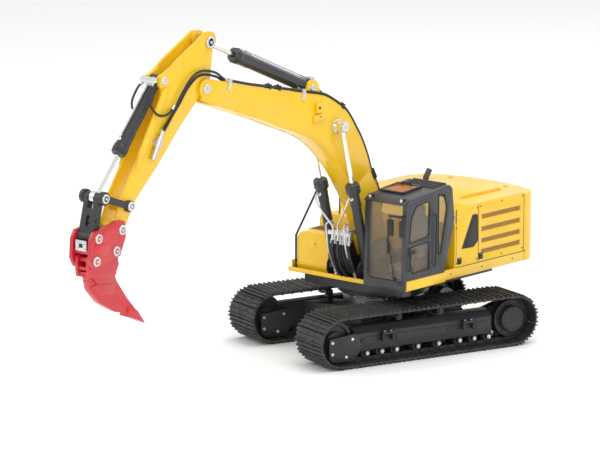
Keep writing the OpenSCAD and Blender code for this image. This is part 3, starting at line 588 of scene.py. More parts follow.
class Work:
    """A piece in the making, in millimetres of the row frame."""

    def __init__(self) -> None:
        """Starts with nothing."""
        self.bm = bmesh.new()

    def take(self, part: bmesh.types.BMesh, *places: Matrix) -> "Work":
        """Adds a part at one place or several.

        Args:
            part: The part, used up by this.
            places: Frames to put it in; none for where it stands.

        Returns:
            This piece.
        """
        mesh = bpy.data.meshes.new("part")
        part.to_mesh(mesh)
        part.free()
        for place in places or (Matrix.Identity(4),):
            start = len(self.bm.verts)
            faces = len(self.bm.faces)
            self.bm.from_mesh(mesh)
            self.bm.verts.ensure_lookup_table()
            self.bm.faces.ensure_lookup_table()
            bmesh.ops.transform(self.bm, matrix=place, verts=self.bm.verts[start:])
            if place.determinant() < 0:
                bmesh.ops.reverse_faces(self.bm, faces=self.bm.faces[faces:])
        bpy.data.meshes.remove(mesh)
        return self

    def both(self, part: bmesh.types.BMesh, place: Matrix | None = None) -> "Work":
        """Adds a part and its mirror image across the centre plane."""
        place = place or Matrix.Identity(4)
        return self.take(part, place, Matrix.Scale(-1, 4, (1, 0, 0)) @ place)

    def piece(self, name: str, finish: Slot | Extra, body: str | None, crease: float = 38.0) -> bpy.types.Object:
        """Turns the work into a finished piece.

        Args:
            name: Name of the piece.
            finish: Its finish.
            body: CAD body that carries it, or None when it runs between two.
            crease: Edges turning more than this many degrees stay sharp.

        Returns:
            The piece.
        """
        bmesh.ops.scale(self.bm, vec=(MM, MM, MM), verts=self.bm.verts)
        return finished(self.bm, name, finish, body, crease)


def finished(bm: bmesh.types.BMesh, name: str, finish: Slot | Extra, body: str | None,
             crease: float) -> bpy.types.Object:
    """Makes an object of a mesh in metres.

    Args:
        bm: The mesh, used up by this.
        name: Name of the piece.
        finish: Its finish.
        body: CAD body that carries it, or None.
        crease: Edges turning more than this many degrees stay sharp.

    Returns:
        The object.
    """
    limit = math.radians(crease)
    for edge in bm.edges:
        edge.smooth = edge.is_manifold and edge.calc_face_angle(0.0) < limit
    for face in bm.faces:
        face.smooth = True
    mesh = bpy.data.meshes.new(name)
    bm.to_mesh(mesh)
    bm.free()
    mesh.materials.append(material_of(finish))
    piece = bpy.data.objects.new(name, mesh)
    bpy.context.scene.collection.objects.link(piece)
    if body is not None:
        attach(piece, body)
    LOG.info("%s: %d faces, %s", name, len(mesh.polygons), finish.value)
    return piece


# ---------------------------------------------------------------- machine layout, in millimetres

CYL_FOOT: Side = (-69.0, 116.0)
BOOM_ROD_END: Side = (-126.82, 324.58)
BOOM_LUG: Side = (-126.0, 325.0)
BOOM_TIP: Side = (-388.0, 408.0)
STICK_CYL_FOOT: Side = (-169.0, 382.0)
STICK_ROD_END: Side = (-377.36, 468.04)
BUCKET_CYL_FOOT: Side = (-466.0, 428.0)
BUCKET_ROD_END: Side = (-582.1, 290.35)
SIDE_LINK_FOOT: Side = (-536.0, 274.0)
SIDE_LINK_PIN: Side = (-583.74, 290.75)
STICK_END: Side = (-553.0, 246.0)
COUPLER_PIN: Side = (-597.0, 241.0)
RIPPER_PINS: tuple[Side, Side] = ((-564.0, 220.0), (-601.0, 212.0))
BOOM_TOP: tuple[Side, ...] = (
    (-388, 421), (-348, 412), (-304, 401), (-226, 384.5), (-180, 375), (-165, 372), (-149, 368), (-136, 362),
    (-120, 353), (-105, 343), (-94, 331), (-83, 316), (-73, 302), (-64, 286), (-56, 269), (-50, 253),
    (-35, 226), (-13, 142),
)
BOOM_BELLY: tuple[Side, ...] = (
    (-36, 127), (-42, 142), (-62, 191), (-77, 216), (-88, 232), (-98, 246), (-108, 258.5), (-119, 270.5),
    (-133, 284), (-151, 298.5), (-173, 312), (-200, 323.5), (-241, 338.5), (-275, 351.5), (-349, 377), (-399, 394),
)
BOOM_HALF = 17.0
STICK_HALF = 12.8
TAIL_RADIUS = 236.0


@dataclass
class Skins:
    """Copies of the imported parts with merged, rounded edges, which stand for them."""

    nodes: dict[str, bpy.types.Object]
    subparts: list[dict[str, str]]
    bodies: dict[str, list[str]]
    edges: dict[str, float] = field(default_factory=lambda: {
        "boom": 0.7, "stick": 0.7, "deck_skirts": 0.7, "counterweight": 1.4, "engine_hood": 0.9,
        "fuel_tank_box": 0.9, "cab_frame": 0.9, "cab_door": 0.6, "main_frame": 0.5, "side_frame_left": 0.6,
        "side_frame_right": 0.6, "quick_coupler": 0.8, "ripper": 0.6, "seat": 2.2, "control_consoles": 0.8,
        "door_latches": 0.25, "carbody": 0.8, "side_panel_left": 0.35, "side_panel_right": 0.35,
        "h_link": 0.6, "side_links": 0.5, "mirrors": 0.5, "pump_motor": 0.6, "battery_pack": 2.0,
        "boom_manifold": 0.3, "roof_hatch": 0.4, "travel_motors": 0.4, "swing_ring_lower": 0.4,
    })

    def build(self) -> None:
        """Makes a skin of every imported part."""
        owner = {n: body for body, members in self.bodies.items() for n in members}
        slots = {part["node"]: Slot(part["material_slot"]) for part in self.subparts}
        for name, node in self.nodes.items():
            skin = self.skin(node, self.edges.get(name, 0.0) * MM)
            if name.startswith("side_panel"):
                self.part_line(skin, 82.0 * MM, 0.5 * MM)
            piece = finished(skin, f"{name}_skin", slots[name], owner[name], 32.0)
            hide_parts(name)

    @staticmethod
    def skin(node: bpy.types.Object, edge: float) -> bmesh.types.BMesh:
        """Merged copy of a part with its long edges rounded.

        Args:
            node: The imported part.
            edge: Width of the rounding in metres, or 0.

        Returns:
            The copy.
        """
        bm = bmesh.new()
        bm.from_mesh(node.data)
        bmesh.ops.remove_doubles(bm, verts=bm.verts, dist=2e-6)
        bmesh.ops.dissolve_limit(bm, angle_limit=math.radians(0.6), verts=bm.verts, edges=bm.edges)
        if edge > 0:
            soften(bm, edge, 2, 28.0, 5.0 * edge)
        return bm

    @staticmethod
    def part_line(bm: bmesh.types.BMesh, y: float, width: float) -> None:
        """Cuts a gap across a panel where its door meets the fixed quarter.

        Args:
            bm: The panel.
            y: Place of the gap.
            width: Width of the gap.
        """
        halves = []
        for step in (-0.5, 0.5):
            half = bm.copy()
            cut = bmesh.ops.bisect_plane(half, geom=[*half.verts, *half.edges, *half.faces], dist=1e-7,
                                         plane_co=(0, y + step * width, 0), plane_no=(0, step, 0),
                                         clear_inner=True)
            rim = [g for g in cut["geom_cut"] if isinstance(g, bmesh.types.BMEdge)]
            bmesh.ops.holes_fill(half, edges=rim, sides=0)
            halves.append(half)
        bm.clear()
        for half in halves:
            mesh = bpy.data.meshes.new("half")
            half.to_mesh(mesh)
            half.free()
            bm.from_mesh(mesh)
            bpy.data.meshes.remove(mesh)


@dataclass
class Undercarriage:
    """Bolts, pins and covers of the two tracks."""

    turn: float = -18.0
    gauge: float = 180.0
    base: float = 286.0
    pitch_r: float = 30.0
    axle_z: float = 37.0
    shoes: int = 49
    shoe_hw: float = 32.6
    frame_hw: float = 15.0
    roller_z: float = 15.0
    roller_y: tuple[float, ...] = (-93.5, -69.5, -45.5, -10.5, 23.5, 58.5, 82.5, 106.5)

    def belt_point(self, s: float) -> Side:
        """Chain pin at a length along the belt.

        Args:
            s: Length from the front of the ground run.

        Returns:
            Its place in the track's side view.
        """
        half, bend = self.base / 2, math.pi * self.pitch_r
        rear, top = self.base + bend, 2 * self.base + bend
        if s < self.base:
            return s - half, self.axle_z - self.pitch_r
        if s < rear:
            return self.arc(half, -math.pi / 2 + (s - self.base) / self.pitch_r)
        if s < top:
            return half - (s - rear), self.axle_z + self.pitch_r
        return self.arc(-half, math.pi / 2 + (s - top) / self.pitch_r)

    def arc(self, y: float, angle: float) -> Side:
        """Point of the belt round a wheel at the place y."""
        return y + self.pitch_r * math.cos(angle), self.axle_z + self.pitch_r * math.sin(angle)

    def track(self, left: bool) -> Matrix:
        """Frame of one track, +X outboard."""
        side = Matrix.Identity(4) if left else Matrix.Scale(-1, 4, (1, 0, 0))
        return Matrix.Rotation(math.radians(self.turn), 4, "Z") @ side @ Matrix.Translation((self.gauge / 2, 0, 0))

    def links(self) -> list[tuple[Side, Side]]:
        """Both pins of each chain link."""
        length = 2 * self.base + 2 * math.pi * self.pitch_r
        pins = [self.belt_point(i * length / self.shoes) for i in range(self.shoes)]
        return list(zip(pins, pins[1:] + pins[:1]))

    def build(self) -> None:
        """Builds the details of both tracks."""
        for left, word in ((True, "left"), (False, "right")):
            place = self.track(left)
            self.chain(place, word)
            self.frame_bolts(place, word)
            self.guards(place, word)

    def chain(self, place: Matrix, word: str) -> None:
        """Shoe bolts and link pins.

        Args:
            place: Frame of the track.
            word: left or right.
        """
        bolts, pins, lips = Work(), Work(), Work()
        spots, axles, joints = [], [], []
        for a, b in self.links():
            mid = at(lerp(a, b, 0.5), 0)
            tilt = math.atan2(b[1] - a[1], b[0] - a[0]) + math.pi
            frame = place @ Matrix.Translation(mid) @ Matrix.Rotation(tilt, 4, "X")
            spots += [frame @ Matrix.Translation((x, y, 4.3)) for x in (-9, 9) for y in (-3.7, 3.7)]
            axles.append(place @ aim(at(a, -12.4), at(a, 12.4)))
            joints.append(place @ Matrix.Translation(at(a, 0)) @ Matrix.Rotation(tilt, 4, "X")
                          @ aim(Vector((-self.shoe_hw, 0, 2.6)), Vector((self.shoe_hw, 0, 2.6))))
        bolts.take(hexagon(1.25, 1.0), *spots).piece(f"shoe_bolts_{word}", Slot.TRACK, "undercarriage")
        lips.take(rod(1.5, 2 * self.shoe_hw, 0.2, 8), *joints).piece(f"shoe_lips_{word}", Slot.TRACK, "undercarriage")
        pins.take(rod(1.5, 24.8, 0.3, 8), *axles).piece(f"chain_pins_{word}", Slot.ROLLER, "undercarriage")

    def frame_bolts(self, place: Matrix, word: str) -> None:
        """Silver bolts of the rollers, steps and idler guards.

        Args:
            place: Frame of the track.
            word: left or right.
        """
        silver = Work()
        ends = []
        for y in self.roller_y:
            ends += [place @ facing((y, self.roller_z), s * (self.frame_hw + 2.3)) for s in (-1, 1)]
        silver.take(hexagon(2.3, 1.5, 2.9), *ends)
        steps = [place @ Matrix.Translation((self.frame_hw + 4.6, y, 42.9))
                 for y in (-67.0, -57.0, 65.0, 75.0)]
        silver.take(hexagon(1.7, 1.3, 2.3), *steps)
        guards = [place @ facing(p, s * (self.frame_hw + 3)) for s in (-1, 1)
                  for p in ((-150.0, 36.0), (-150.0, 20.0), (-128.0, 14.0), (-118.0, 38.0))]
        silver.take(hexagon(1.6, 1.2, 2.2), *guards)
        silver.piece(f"frame_bolts_{word}", Slot.SILVER, "undercarriage")

    def guards(self, place: Matrix, word: str) -> None:
        """Frame plates: a slotted rib along the side and ribs under the steps.

        Args:
            place: Frame of the track.
            word: left or right.
        """
        work = Work()
        out = self.frame_hw
        for y0, y1 in ((-98.0, -78.0), (-46.0, 54.0), (86.0, 104.0)):
            work.take(box((out - 0.2, y0, 26), (out + 0.9, y1, 38), 0.5), place)
        for y in (-70.0, -54.0, 62.0, 78.0):
            work.take(plate(((y - 0.8, 30.0), (y + 0.8, 30.0), (y + 0.8, 40.2), (y - 0.8, 40.2)),
                            out - 0.2, out + 6.5, 0.2), place)
        for y in (-100.0, -30.0, 40.0):
            work.take(rod(2.2, 1.4, 0.4, 16), place @ facing((y, 33.0), out + 0.6))
        work.piece(f"frame_ribs_{word}", Slot.FRAME, "undercarriage")


@dataclass(frozen=True)
class Cap:
    """One silver pin head with its ring and bolt, on both sides of the arm."""

    name: str
    centre: Side
    inner: float
    radius: float
    body: str
    height: float = 2.3

    def build(self) -> None:
        """Builds the pair of heads."""
        r, h = self.radius + 0.25, self.height
        profile = [(0, -0.2), (r, -0.2), (r, h - 0.7), (r - 0.7, h), (r * 0.62, h), (r * 0.58, h - 0.5),
                   (r * 0.4, h - 0.5), (0, h - 0.5)]
        work = Work().both(turned(profile), facing(self.centre, self.inner))
        work.both(hexagon(r * 0.33, 0.9), facing(self.centre, self.inner + h - 0.55))
        work.piece(self.name, Slot.SILVER, self.body)


CAPS: tuple[Cap, ...] = (
    Cap("boom_tip_caps", BOOM_TIP, 17.0, 6.4, "boom"),
    Cap("stick_cylinder_foot_caps", STICK_CYL_FOOT, 13.4, 5.0, "boom", 1.9),
    Cap("boom_rod_caps", BOOM_ROD_END, 34.0, 6.8, "boom_rod_left", 2.9),
    Cap("stick_rod_caps", STICK_ROD_END, 13.2, 8.0, "stick_rod", 2.7),
    Cap("bucket_cylinder_foot_caps", BUCKET_CYL_FOOT, 12.8, 5.0, "stick", 2.4),
    Cap("side_link_foot_caps", SIDE_LINK_FOOT, 19.2, 6.2, "stick"),
    Cap("stick_end_caps", STICK_END, 19.2, 6.2, "stick"),
    Cap("side_link_caps", SIDE_LINK_PIN, 19.0, 6.2, "side_links"),
    Cap("coupler_caps", COUPLER_PIN, 19.0, 6.2, "tool"),
    Cap("ripper_front_caps", RIPPER_PINS[0], 19.1, 6.2, "tool"),
    Cap("ripper_rear_caps", RIPPER_PINS[1], 19.1, 6.2, "tool"),
)


@dataclass
class CylinderTrim:
    """Gland, bolts, collars and hard line of one hydraulic cylinder."""

    name: str
    foot: Side
    rod_end: Side
    x: float
    length: float
    radius: float
    body: str
    line_turn: float
    line_from: float = 14.0
    bolts: int = 8
    head: float = 0.6
    neck: float = 10.0

    def frame(self) -> Matrix:
        """Frame at the foot whose Z runs up the cylinder and whose X stays across."""
        a, b = at(self.foot, self.x), at(self.rod_end, self.x)
        tilt = math.atan2(a.y - b.y, b.z - a.z)
        return Matrix.Translation(a) @ Matrix.Rotation(tilt, 4, "X")

    def build(self) -> None:
        """Builds the trim."""
        self.gland()
        self.hard_line()

    def gland(self) -> None:
        """Black head with its bolt ring and the step below it."""
        place = self.frame()
        r, top = self.radius, self.length
        g = r + self.head
        head = turned([(r - 0.4, top - 11), (g + 0.7, top - 11), (g + 1.0, top - 10.4), (g + 1.0, top - 4.2),
                       (g + 0.5, top - 3.6), (g, top - 3.6), (g, top + 1.2), (g - 0.8, top + 1.9),
                       (4.2, top + 1.9), (3.6, top + 0.6)], 32)
        sleeve = turned([(r - 0.2, top - 32), (r + 0.7, top - 31), (r + 0.7, top - 12), (r - 0.2, top - 11)], 32)
        base = turned([(r - 0.2, self.neck), (r + 0.5, self.neck + 0.5), (r + 0.5, self.neck + 5.5),
                       (r - 0.2, self.neck + 6)], 32)
        work = Work().take(head, place).take(sleeve, place).take(base, place)
        ring = [place @ Matrix.Rotation(math.tau * (i + 0.5) / self.bolts, 4, "Z")
                @ Matrix.Translation((g - 0.1, 0, top - 3.7)) for i in range(self.bolts)]
        work.take(hexagon(1.5, 3.4, 1.7), *ring)
        work.piece(f"{self.name}_gland", Slot.BARREL, self.body, 30.0)

    def hard_line(self) -> None:
        """Silver tube from the fitting at the gland to the block at the foot."""
        out = self.radius + 2.4
        high, low = self.length - 16.0, self.line_from
        place = self.frame() @ Matrix.Rotation(math.radians(self.line_turn), 4, "Z")
        line = smooth_path([Vector((self.radius - 1, 0, high)), Vector((out - 0.4, 0, high - 0.4)),
                            Vector((out, 0, high - 4)), Vector((out, 0, (high + low) / 2)),
                            Vector((out, 0, low + 4)), Vector((out - 0.3, 0, low))])
        work = Work().take(tube(line, 1.15), place)
        work.take(rod(2.5, 3.4, 0.5, 20), place @ aim(Vector((self.radius - 0.6, 0, high)), Vector((20, 0, high))))
        work.take(hexagon(1.9, 2.6), place @ Matrix.Translation((out, 0, high - 6.4)))
        work.take(box((6.2, -2.6, low - 2.4), (out + 1.9, 2.6, low + 2.6), 0.5), place)
        work.take(hexagon(1.3, 0.9), place @ aim(Vector((out + 1.8, 0, low)), Vector((out + 9, 0, low))))
        work.piece(f"{self.name}_line", Slot.SILVER, self.body, 30.0)


@dataclass(frozen=True)
class Hose:
    """One flexible pressure hose with its crimped ends."""

    name: str
    route: tuple[Vector, ...]
    radius: float
    bodies: tuple[str, ...]
    collars: tuple[bool, bool] = (True, True)

    def build(self) -> None:
        """Builds the hose and its ends."""
        line = smooth_path(self.route)
        hose = Work().take(tube(line, self.radius))
        piece = hose.piece(self.name, Extra.RUBBER, self.bodies[0] if len(self.bodies) == 1 else None, 60.0)
        for used, i, j, word in ((self.collars[0], 0, 2, "a"), (self.collars[1], -1, -3, "b")):
            if used:
                crimp = Work().take(self.crimp(), aim(line[i], line[j]))
                crimp.piece(f"{self.name}_crimp_{word}", Slot.SILVER,
                                        self.bodies[0] if i == 0 or len(self.bodies) == 1 else self.bodies[1])
        if len(self.bodies) == 2:
            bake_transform(piece)

    def crimp(self) -> bmesh.types.BMesh:
        """Crimped sleeve with its swivel nut, at the hose's end."""
        r = self.radius
        return turned([(0, -1.4), (r + 0.5, -1.4), (r + 0.5, 1.6), (r + 0.25, 1.8), (r + 0.25, 2.4),
                       (r + 0.45, 2.6), (r + 0.45, 5.6), (r + 0.1, 6.0)], 12)


@dataclass
class BoomTrim:
    """Doubler plates, lugs, welds and hose clamps of the boom."""

    half: float = BOOM_HALF
    raised: float = 0.3

    def build(self) -> None:
        """Builds the boom's details."""
        self.doublers()
        self.lugs()
        self.welds()
        self.clamps()

    def doublers(self) -> None:
        """Side plates at the tip, the bend and the foot."""
        inner, outer = self.half - 0.2, self.half + self.raised
        tip = ((-389, 419), (-346, 409.5), (-345, 390), (-345, 377.6), (-397, 395.5))
        bend = ((-219, 381), (-180, 373), (-150, 366), (-137, 360.2), (-121, 351), (-106.5, 341.5), (-95.5, 329.8),
                (-75, 300.8), (-66, 285), (-58, 268.2), (-53.5, 254), (-60, 249), (-82, 236.5), (-95, 243.6),
                (-106.3, 260), (-117.3, 272.3), (-131.5, 286), (-150, 300.2), (-172, 313.8), (-221, 333))
        foot = ((-92.6, 240.6), (-81.6, 234), (-60, 246.4), (-49.6, 249), (-37, 225.5), (-15.5, 143), (-36, 130.5),
                (-40, 142), (-60.2, 191.6), (-75.3, 217.2), (-86.3, 233.3))
        work = Work()
        for outline in (tip, bend, foot):
            work.both(plate(tuple(reversed(outline)), inner, outer, 0.2))
        work.piece("boom_doublers", Slot.YELLOW, "boom")

    def lugs(self) -> None:
        """Bracket pair with its hole, and the round boss of the cylinder pin; black discs on the brackets are painted
        shade of their holes.
        """
        x = self.half
        work = Work()
        work.both(plate(((-171, 361.5), (-160.5, 361.5), (-158.5, 348.5), (-170, 347.5)), x - 0.5, x + 5.2, 0.9))
        work.both(plate(((-174, 345), (-152, 346.5), (-151, 338.5), (-174, 334)), x - 0.5, x + 3.4, 0.7))
        work.both(turned([(8.6, -0.2), (13.6, -0.2), (13.6, 0.5), (13.2, 0.7), (8.6, 0.7)], 48),
                  facing(BOOM_LUG, x))
        work.piece("boom_lugs", Slot.YELLOW, "boom")
        # Black discs: painted shade of the brackets' pin holes.
        hole_shade = Work().both(rod(2.2, 0.5, 0.15, 20), facing((-165.0, 354.6), x + 4.9))
        hole_shade.both(rod(1.3, 0.5, 0.15, 16), facing((-160.5, 341.8), x + 3.1))
        hole_shade.piece("boom_lug_hole_shades", Slot.TRIM, "boom")

    def welds(self) -> None:
        """Weld beads along the box's upper and lower corners."""
        work = Work()
        for outline in (BOOM_TOP, BOOM_BELLY):
            line = [at(p, self.half - 0.15) for p in outline]
            work.both(tube(smooth_path(line, 6.0), 0.55, 8))
        work.piece("boom_welds", Slot.YELLOW, "boom")

    @staticmethod
    def clamps() -> None:
        """Silver saddle clamps and black clips that hold the two top hoses."""
        silver, black = Work(), Work()
        for p, lean in (((-343.0, 410.8), 14.0), ((-193.0, 377.8), 11.7)):
            place = Matrix.Translation(at(p, 0)) @ Matrix.Rotation(math.radians(-lean), 4, "X")
            silver.take(box((3.4, -3.6, 0.2), (17.9, 3.6, 5.6), 0.7), place)
            silver.take(box((16.9, -3.2, -9.5), (19.1, 3.2, 5.0), 0.7), place)
            silver.take(hexagon(1.7, 1.2, 2.3), place @ aim(Vector((19, 0, -6.4)), Vector((29, 0, -6.4))))
            silver.take(hexagon(1.6, 1.3, 2.2), place @ Matrix.Translation((6.6, 0, 5.4)))
        for p, lean, half in (((-262.0, 392.2), 12.0, 2.4), ((-242.5, 388.0), 12.0, 2.4),
                              ((-111.5, 347.4), 34.0, 3.4), ((-45.5, 245.0), 61.0, 8.0)):
            place = Matrix.Translation(at(p, 0)) @ Matrix.Rotation(math.radians(-lean), 4, "X")
            black.take(box((8.0, -half, -0.6), (18.0, half, 6.4), 0.8), place)
            black.take(hexagon(1.5, 1.6), place @ Matrix.Translation((12.9, 0, 6.2)))
        silver.piece("hose_saddles", Slot.SILVER, "boom")
        black.piece("hose_clips", Slot.TRIM, "boom")


@dataclass
class StickTrim:
    """Doubler plates, side rail and welds of the stick."""

    half: float = STICK_HALF

    def build(self) -> None:
        """Builds the stick's details."""
        x = self.half
        work = Work()
        tail = ((-372, 477), (-386, 479), (-428, 455), (-428, 382), (-403, 399), (-381, 411.5), (-377, 441))
        nose = ((-538, 295), (-524, 285), (-545, 248), (-552, 240), (-559, 252), (-545.5, 283.5))
        for outline in (tail, nose):
            work.both(plate(outline, x - 0.2, x + 0.22, 0.15))
        work.piece("stick_doublers", Slot.YELLOW, "stick")
        self.rail()
        beads = Work()
        upper = ((-385, 482), (-444, 450), (-464, 436), (-482, 381), (-546, 288))
        lower = ((-378, 409), (-401, 396), (-437, 363), (-479, 319), (-520, 281), (-543, 244))
        for outline in (upper, lower):
            beads.both(tube([at(p, x - 0.15) for p in outline], 0.5, 8))
        beads.piece("stick_welds", Slot.YELLOW, "stick")

    def rail(self) -> None:
        """Raised hose rails down both sides, and the ears of the cylinder foot."""
        x = self.half
        rail = ((-459, 416), (-466.5, 420), (-471, 414), (-516, 341), (-522, 322), (-517, 321), (-500, 346))
        work = Work().both(plate(rail, x - 0.3, x + 3.0, 0.9))
        ear = ((-450, 441), (-462, 437.5), (-472, 433), (-473.5, 424), (-467, 417.5), (-452, 420))
        work.both(plate(ear, x - 0.2, x + 0.7, 0.4))
        for p in ((-474.0, 404.0), (-487.0, 383.0), (-500.0, 362.0), (-511.0, 343.0)):
            work.both(rod(1.3, 0.7, 0.2, 14), facing(p, x + 2.8))
        work.piece("stick_rails", Slot.YELLOW, "stick")


@dataclass
class Plumbing:
    """Hoses and silver tubes of the arm and the deck."""

    bar: Side = (-93.0, 168.0)
    hose_r: float = 1.7
    tube_r: float = 1.25
    lift: float = 2.9
    back: tuple[Side, ...] = ((-344.0, 411.0), (-304.0, 401.0), (-262.0, 392.2), (-226.0, 384.6), *BOOM_TOP[4:16],
                              (-35.0, 226.0), (-27.0, 196.0))

    def build(self) -> None:
        """Builds every run."""
        self.deck_hoses()
        self.canes()
        self.gland_tubes()
        self.top_hoses()
        self.stick_hoses()
        self.cylinder_hoses()

    def deck_hoses(self) -> None:
        """Seven hoses from the distribution bar down into the deck."""
        for i, x in enumerate(range(-15, 16, 5)):
            lean = 1.6 + 0.22 * (x + 15)
            route = (
                at((-93.0, 158.0), x), at((-94.5, 150.0), x), at((-97.0, 139.0), x + lean * 0.5),
                at((-93.5 + 0.4 * (i % 3), 126.0), x * 0.9 + lean),
                at((-85.0 + 1.3 * (i % 2), 115.0), x * 0.82 + lean),
                at((-77.0 + 2.2 * (i % 3), 108.0), x * 0.75 + lean),
                at((-72.0 + 2.2 * (i % 3), 103.4), x * 0.72 + lean),
            )
            Hose(f"deck_hose_{i + 1}", tuple(reversed(route)), 2.0, ("upper", "boom"), (False, True)).build()

    def canes(self) -> None:
        """Two silver tubes that loop over the bar's ends and run down to the deck."""
        for word, x0, x1, low in (("right", -13.0, -16.2, (-83.0, 110.0)), ("left", 13.0, 15.9, (-80.0, 108.0))):
            y, z = self.bar
            route = [at((y, z + 2), x0), at((y, z + 9), x0), at((y - 2.5, z + 14.5), x0), at((y - 7.5, z + 16), x0),
                     at((y - 12, z + 12.5), x1), at((y - 11.5, z + 3), x1), at((y - 6, z - 26), x1), at(low, x1)]
            line = smooth_path(route, 2.0)
            piece = Work().take(tube(line, self.tube_r)).piece(f"cane_tube_{word}", Slot.SILVER, None, 60.0)
            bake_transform(piece)
            nut = Work().take(hexagon(2.9, 4.0), aim(line[-1], line[-2]))
            nut.take(rod(2.1, 3.5, 0.4, 16), aim(line[-1] - Vector((0, 0, 3.4)), line[-1]))
            nut.piece(f"cane_nut_{word}", Slot.SILVER, "upper")

    def gland_tubes(self) -> None:
        """Silver tubes down from the boom cylinders' heads, with hose tails into the deck."""
        for word, side in (("left", 1), ("right", -1)):
            body = f"boom_barrel_{word}"
            x = 28.6 * side
            inner = 4.5 * side
            route = [at((-106.5, 222.5), x), at((-111.5, 220.6), x), at((-113.8, 214.5), x - 1.0 * side),
                     at((-112.0, 201.5), x * 0.72), at((-107.5, 186.0), inner * 2.0), at((-105.0, 178.0), inner),
                     at((-104.4, 169.0), inner), at((-104.6, 160.0), inner)]
            line = smooth_path(route, 2.0)
            work = Work().take(tube(line, self.tube_r + 0.15))
            work.take(hexagon(2.5, 3.4), aim(line[0], line[2]))
            work.take(rod(3.3, 5.4, 0.7, 20), aim(at((-101.0, 222.2), x), at((-109.0, 220.0), x)))
            work.take(hexagon(2.3, 3.0), aim(line[-1], line[-3]))
            work.piece(f"head_tube_{word}", Slot.SILVER, body, 40.0)
            tail = (at((-81.5, 103.6), inner * 1.2), at((-87.0, 109.0), inner * 1.2), at((-96.5, 120.0), inner),
                    at((-103.6, 136.0), inner), at((-105.4, 150.0), inner), at((-104.6, 160.0), inner))
            Hose(f"head_hose_{word}", tail, 1.9, ("upper", body), (False, False)).build()

    def top_hoses(self) -> None:
        """Two hoses along the boom's back, from behind the cab to the tip clamp."""
        for k, x in enumerate((10.6, 15.2)):
            Hose(f"boom_hose_{k + 1}", self.run(self.back, x), 1.9, ("boom",), (True, False)).build()

    def run(self, spots: Sequence[Side], x: float) -> tuple[Vector, ...]:
        """Points a hose's height above the boom's top plate.

        Args:
            spots: Places along the plate, in the side view.
            x: Distance from the centre plane.

        Returns:
            The points.
        """
        route = []
        for i, p in enumerate(spots):
            a, b = spots[max(0, i - 1)], spots[min(len(spots) - 1, i + 1)]
            way = Vector((0, b[0] - a[0], b[1] - a[1])).normalized()
            route.append(at(p, x) + Vector((0, -way.z, way.y)) * self.lift)
        return tuple(route)

    def stick_hoses(self) -> None:
        """Two hoses that arc from the boom's tip clamp over to the stick's coupling."""
        first = [(-344.0, 413.6), (-352.0, 416.6), (-370.6, 427.5), (-397.5, 433.0), (-417.6, 427.6), (-437.6, 407.4),
                 (-454.2, 384.7), (-468.0, 368.0), (-476.5, 359.0)]
        second = [(-344.0, 413.0), (-352.0, 415.0), (-366.0, 421.4), (-388.0, 426.6), (-406.0, 424.8),
                  (-424.3, 411.6), (-440.0, 393.0), (-458.0, 375.0), (-474.5, 360.2)]
        spread = (12.9, 14.5, 16.5, 18.0, 18.6, 18.6, 18.4, 18.2, 18.0)
        for k, line in enumerate((first, second)):
            shift = 0.0 if k == 0 else -3.8
            route = tuple(at(p, x + shift) for p, x in zip(line, spread))
            Hose(f"stick_hose_{k + 1}", route, self.hose_r, ("boom", "stick"), (True, True)).build()

    def cylinder_hoses(self) -> None:
        """Loops at the heads of the bucket and stick cylinders."""
        loop = (at((-482.0, 426.5), 8.6), at((-491.0, 420.6), 11.5), at((-497.0, 409.5), 15.2),
                at((-492.5, 394.1), 17.6), at((-479.4, 384.5), 18.4), at((-463.0, 385.2), 18.0),
                at((-450.0, 392.5), 16.2))
        Hose("bucket_loop_hose", loop, 1.6, ("bucket_barrel", "stick"), (True, True)).build()
        short = (at((-482.0, 426.5), -8.6), at((-489.5, 421.5), -9.6), at((-496.0, 413.0), -10.4),
                 at((-501.0, 404.0), -10.6), at((-502.5, 395.5), -9.4), at((-500.5, 388.5), -7.6))
        Hose("bucket_short_hose", short, 1.5, ("bucket_barrel",), (True, True)).build()
        block = Work().take(box((-12.0, -486.0, 426.5), (12.0, -477.5, 433.5), 0.8))
        block.take(hexagon(1.6, 1.2), *(Matrix.Translation((x, -481.8, 433.3)) for x in (-9.0, 0.0, 9.0)))
        block.take(box((-5.0, -479.0, 427.0), (5.0, -470.0, 432.0), 0.6))
        block.piece("bucket_hose_block", Slot.SILVER, "bucket_barrel")
        for k, x in enumerate((6.2, 1.9)):
            start = (at((-162.0, 391.6), x), at((-157.0, 387.6), x), at((-151.5, 380.0), x), at((-146.0, 373.2), x))
            route = (*start, *self.run(self.back, x)[8:])
            Hose(f"stick_cylinder_hose_{k + 1}", route, 1.7, ("stick_barrel", "boom"), (True, False)).build()
        foot = Work().take(box((-2.0, -170.0, 388.6), (9.6, -161.4, 395.4), 0.7))
        foot.piece("stick_hose_block", Slot.SILVER, "stick_barrel")


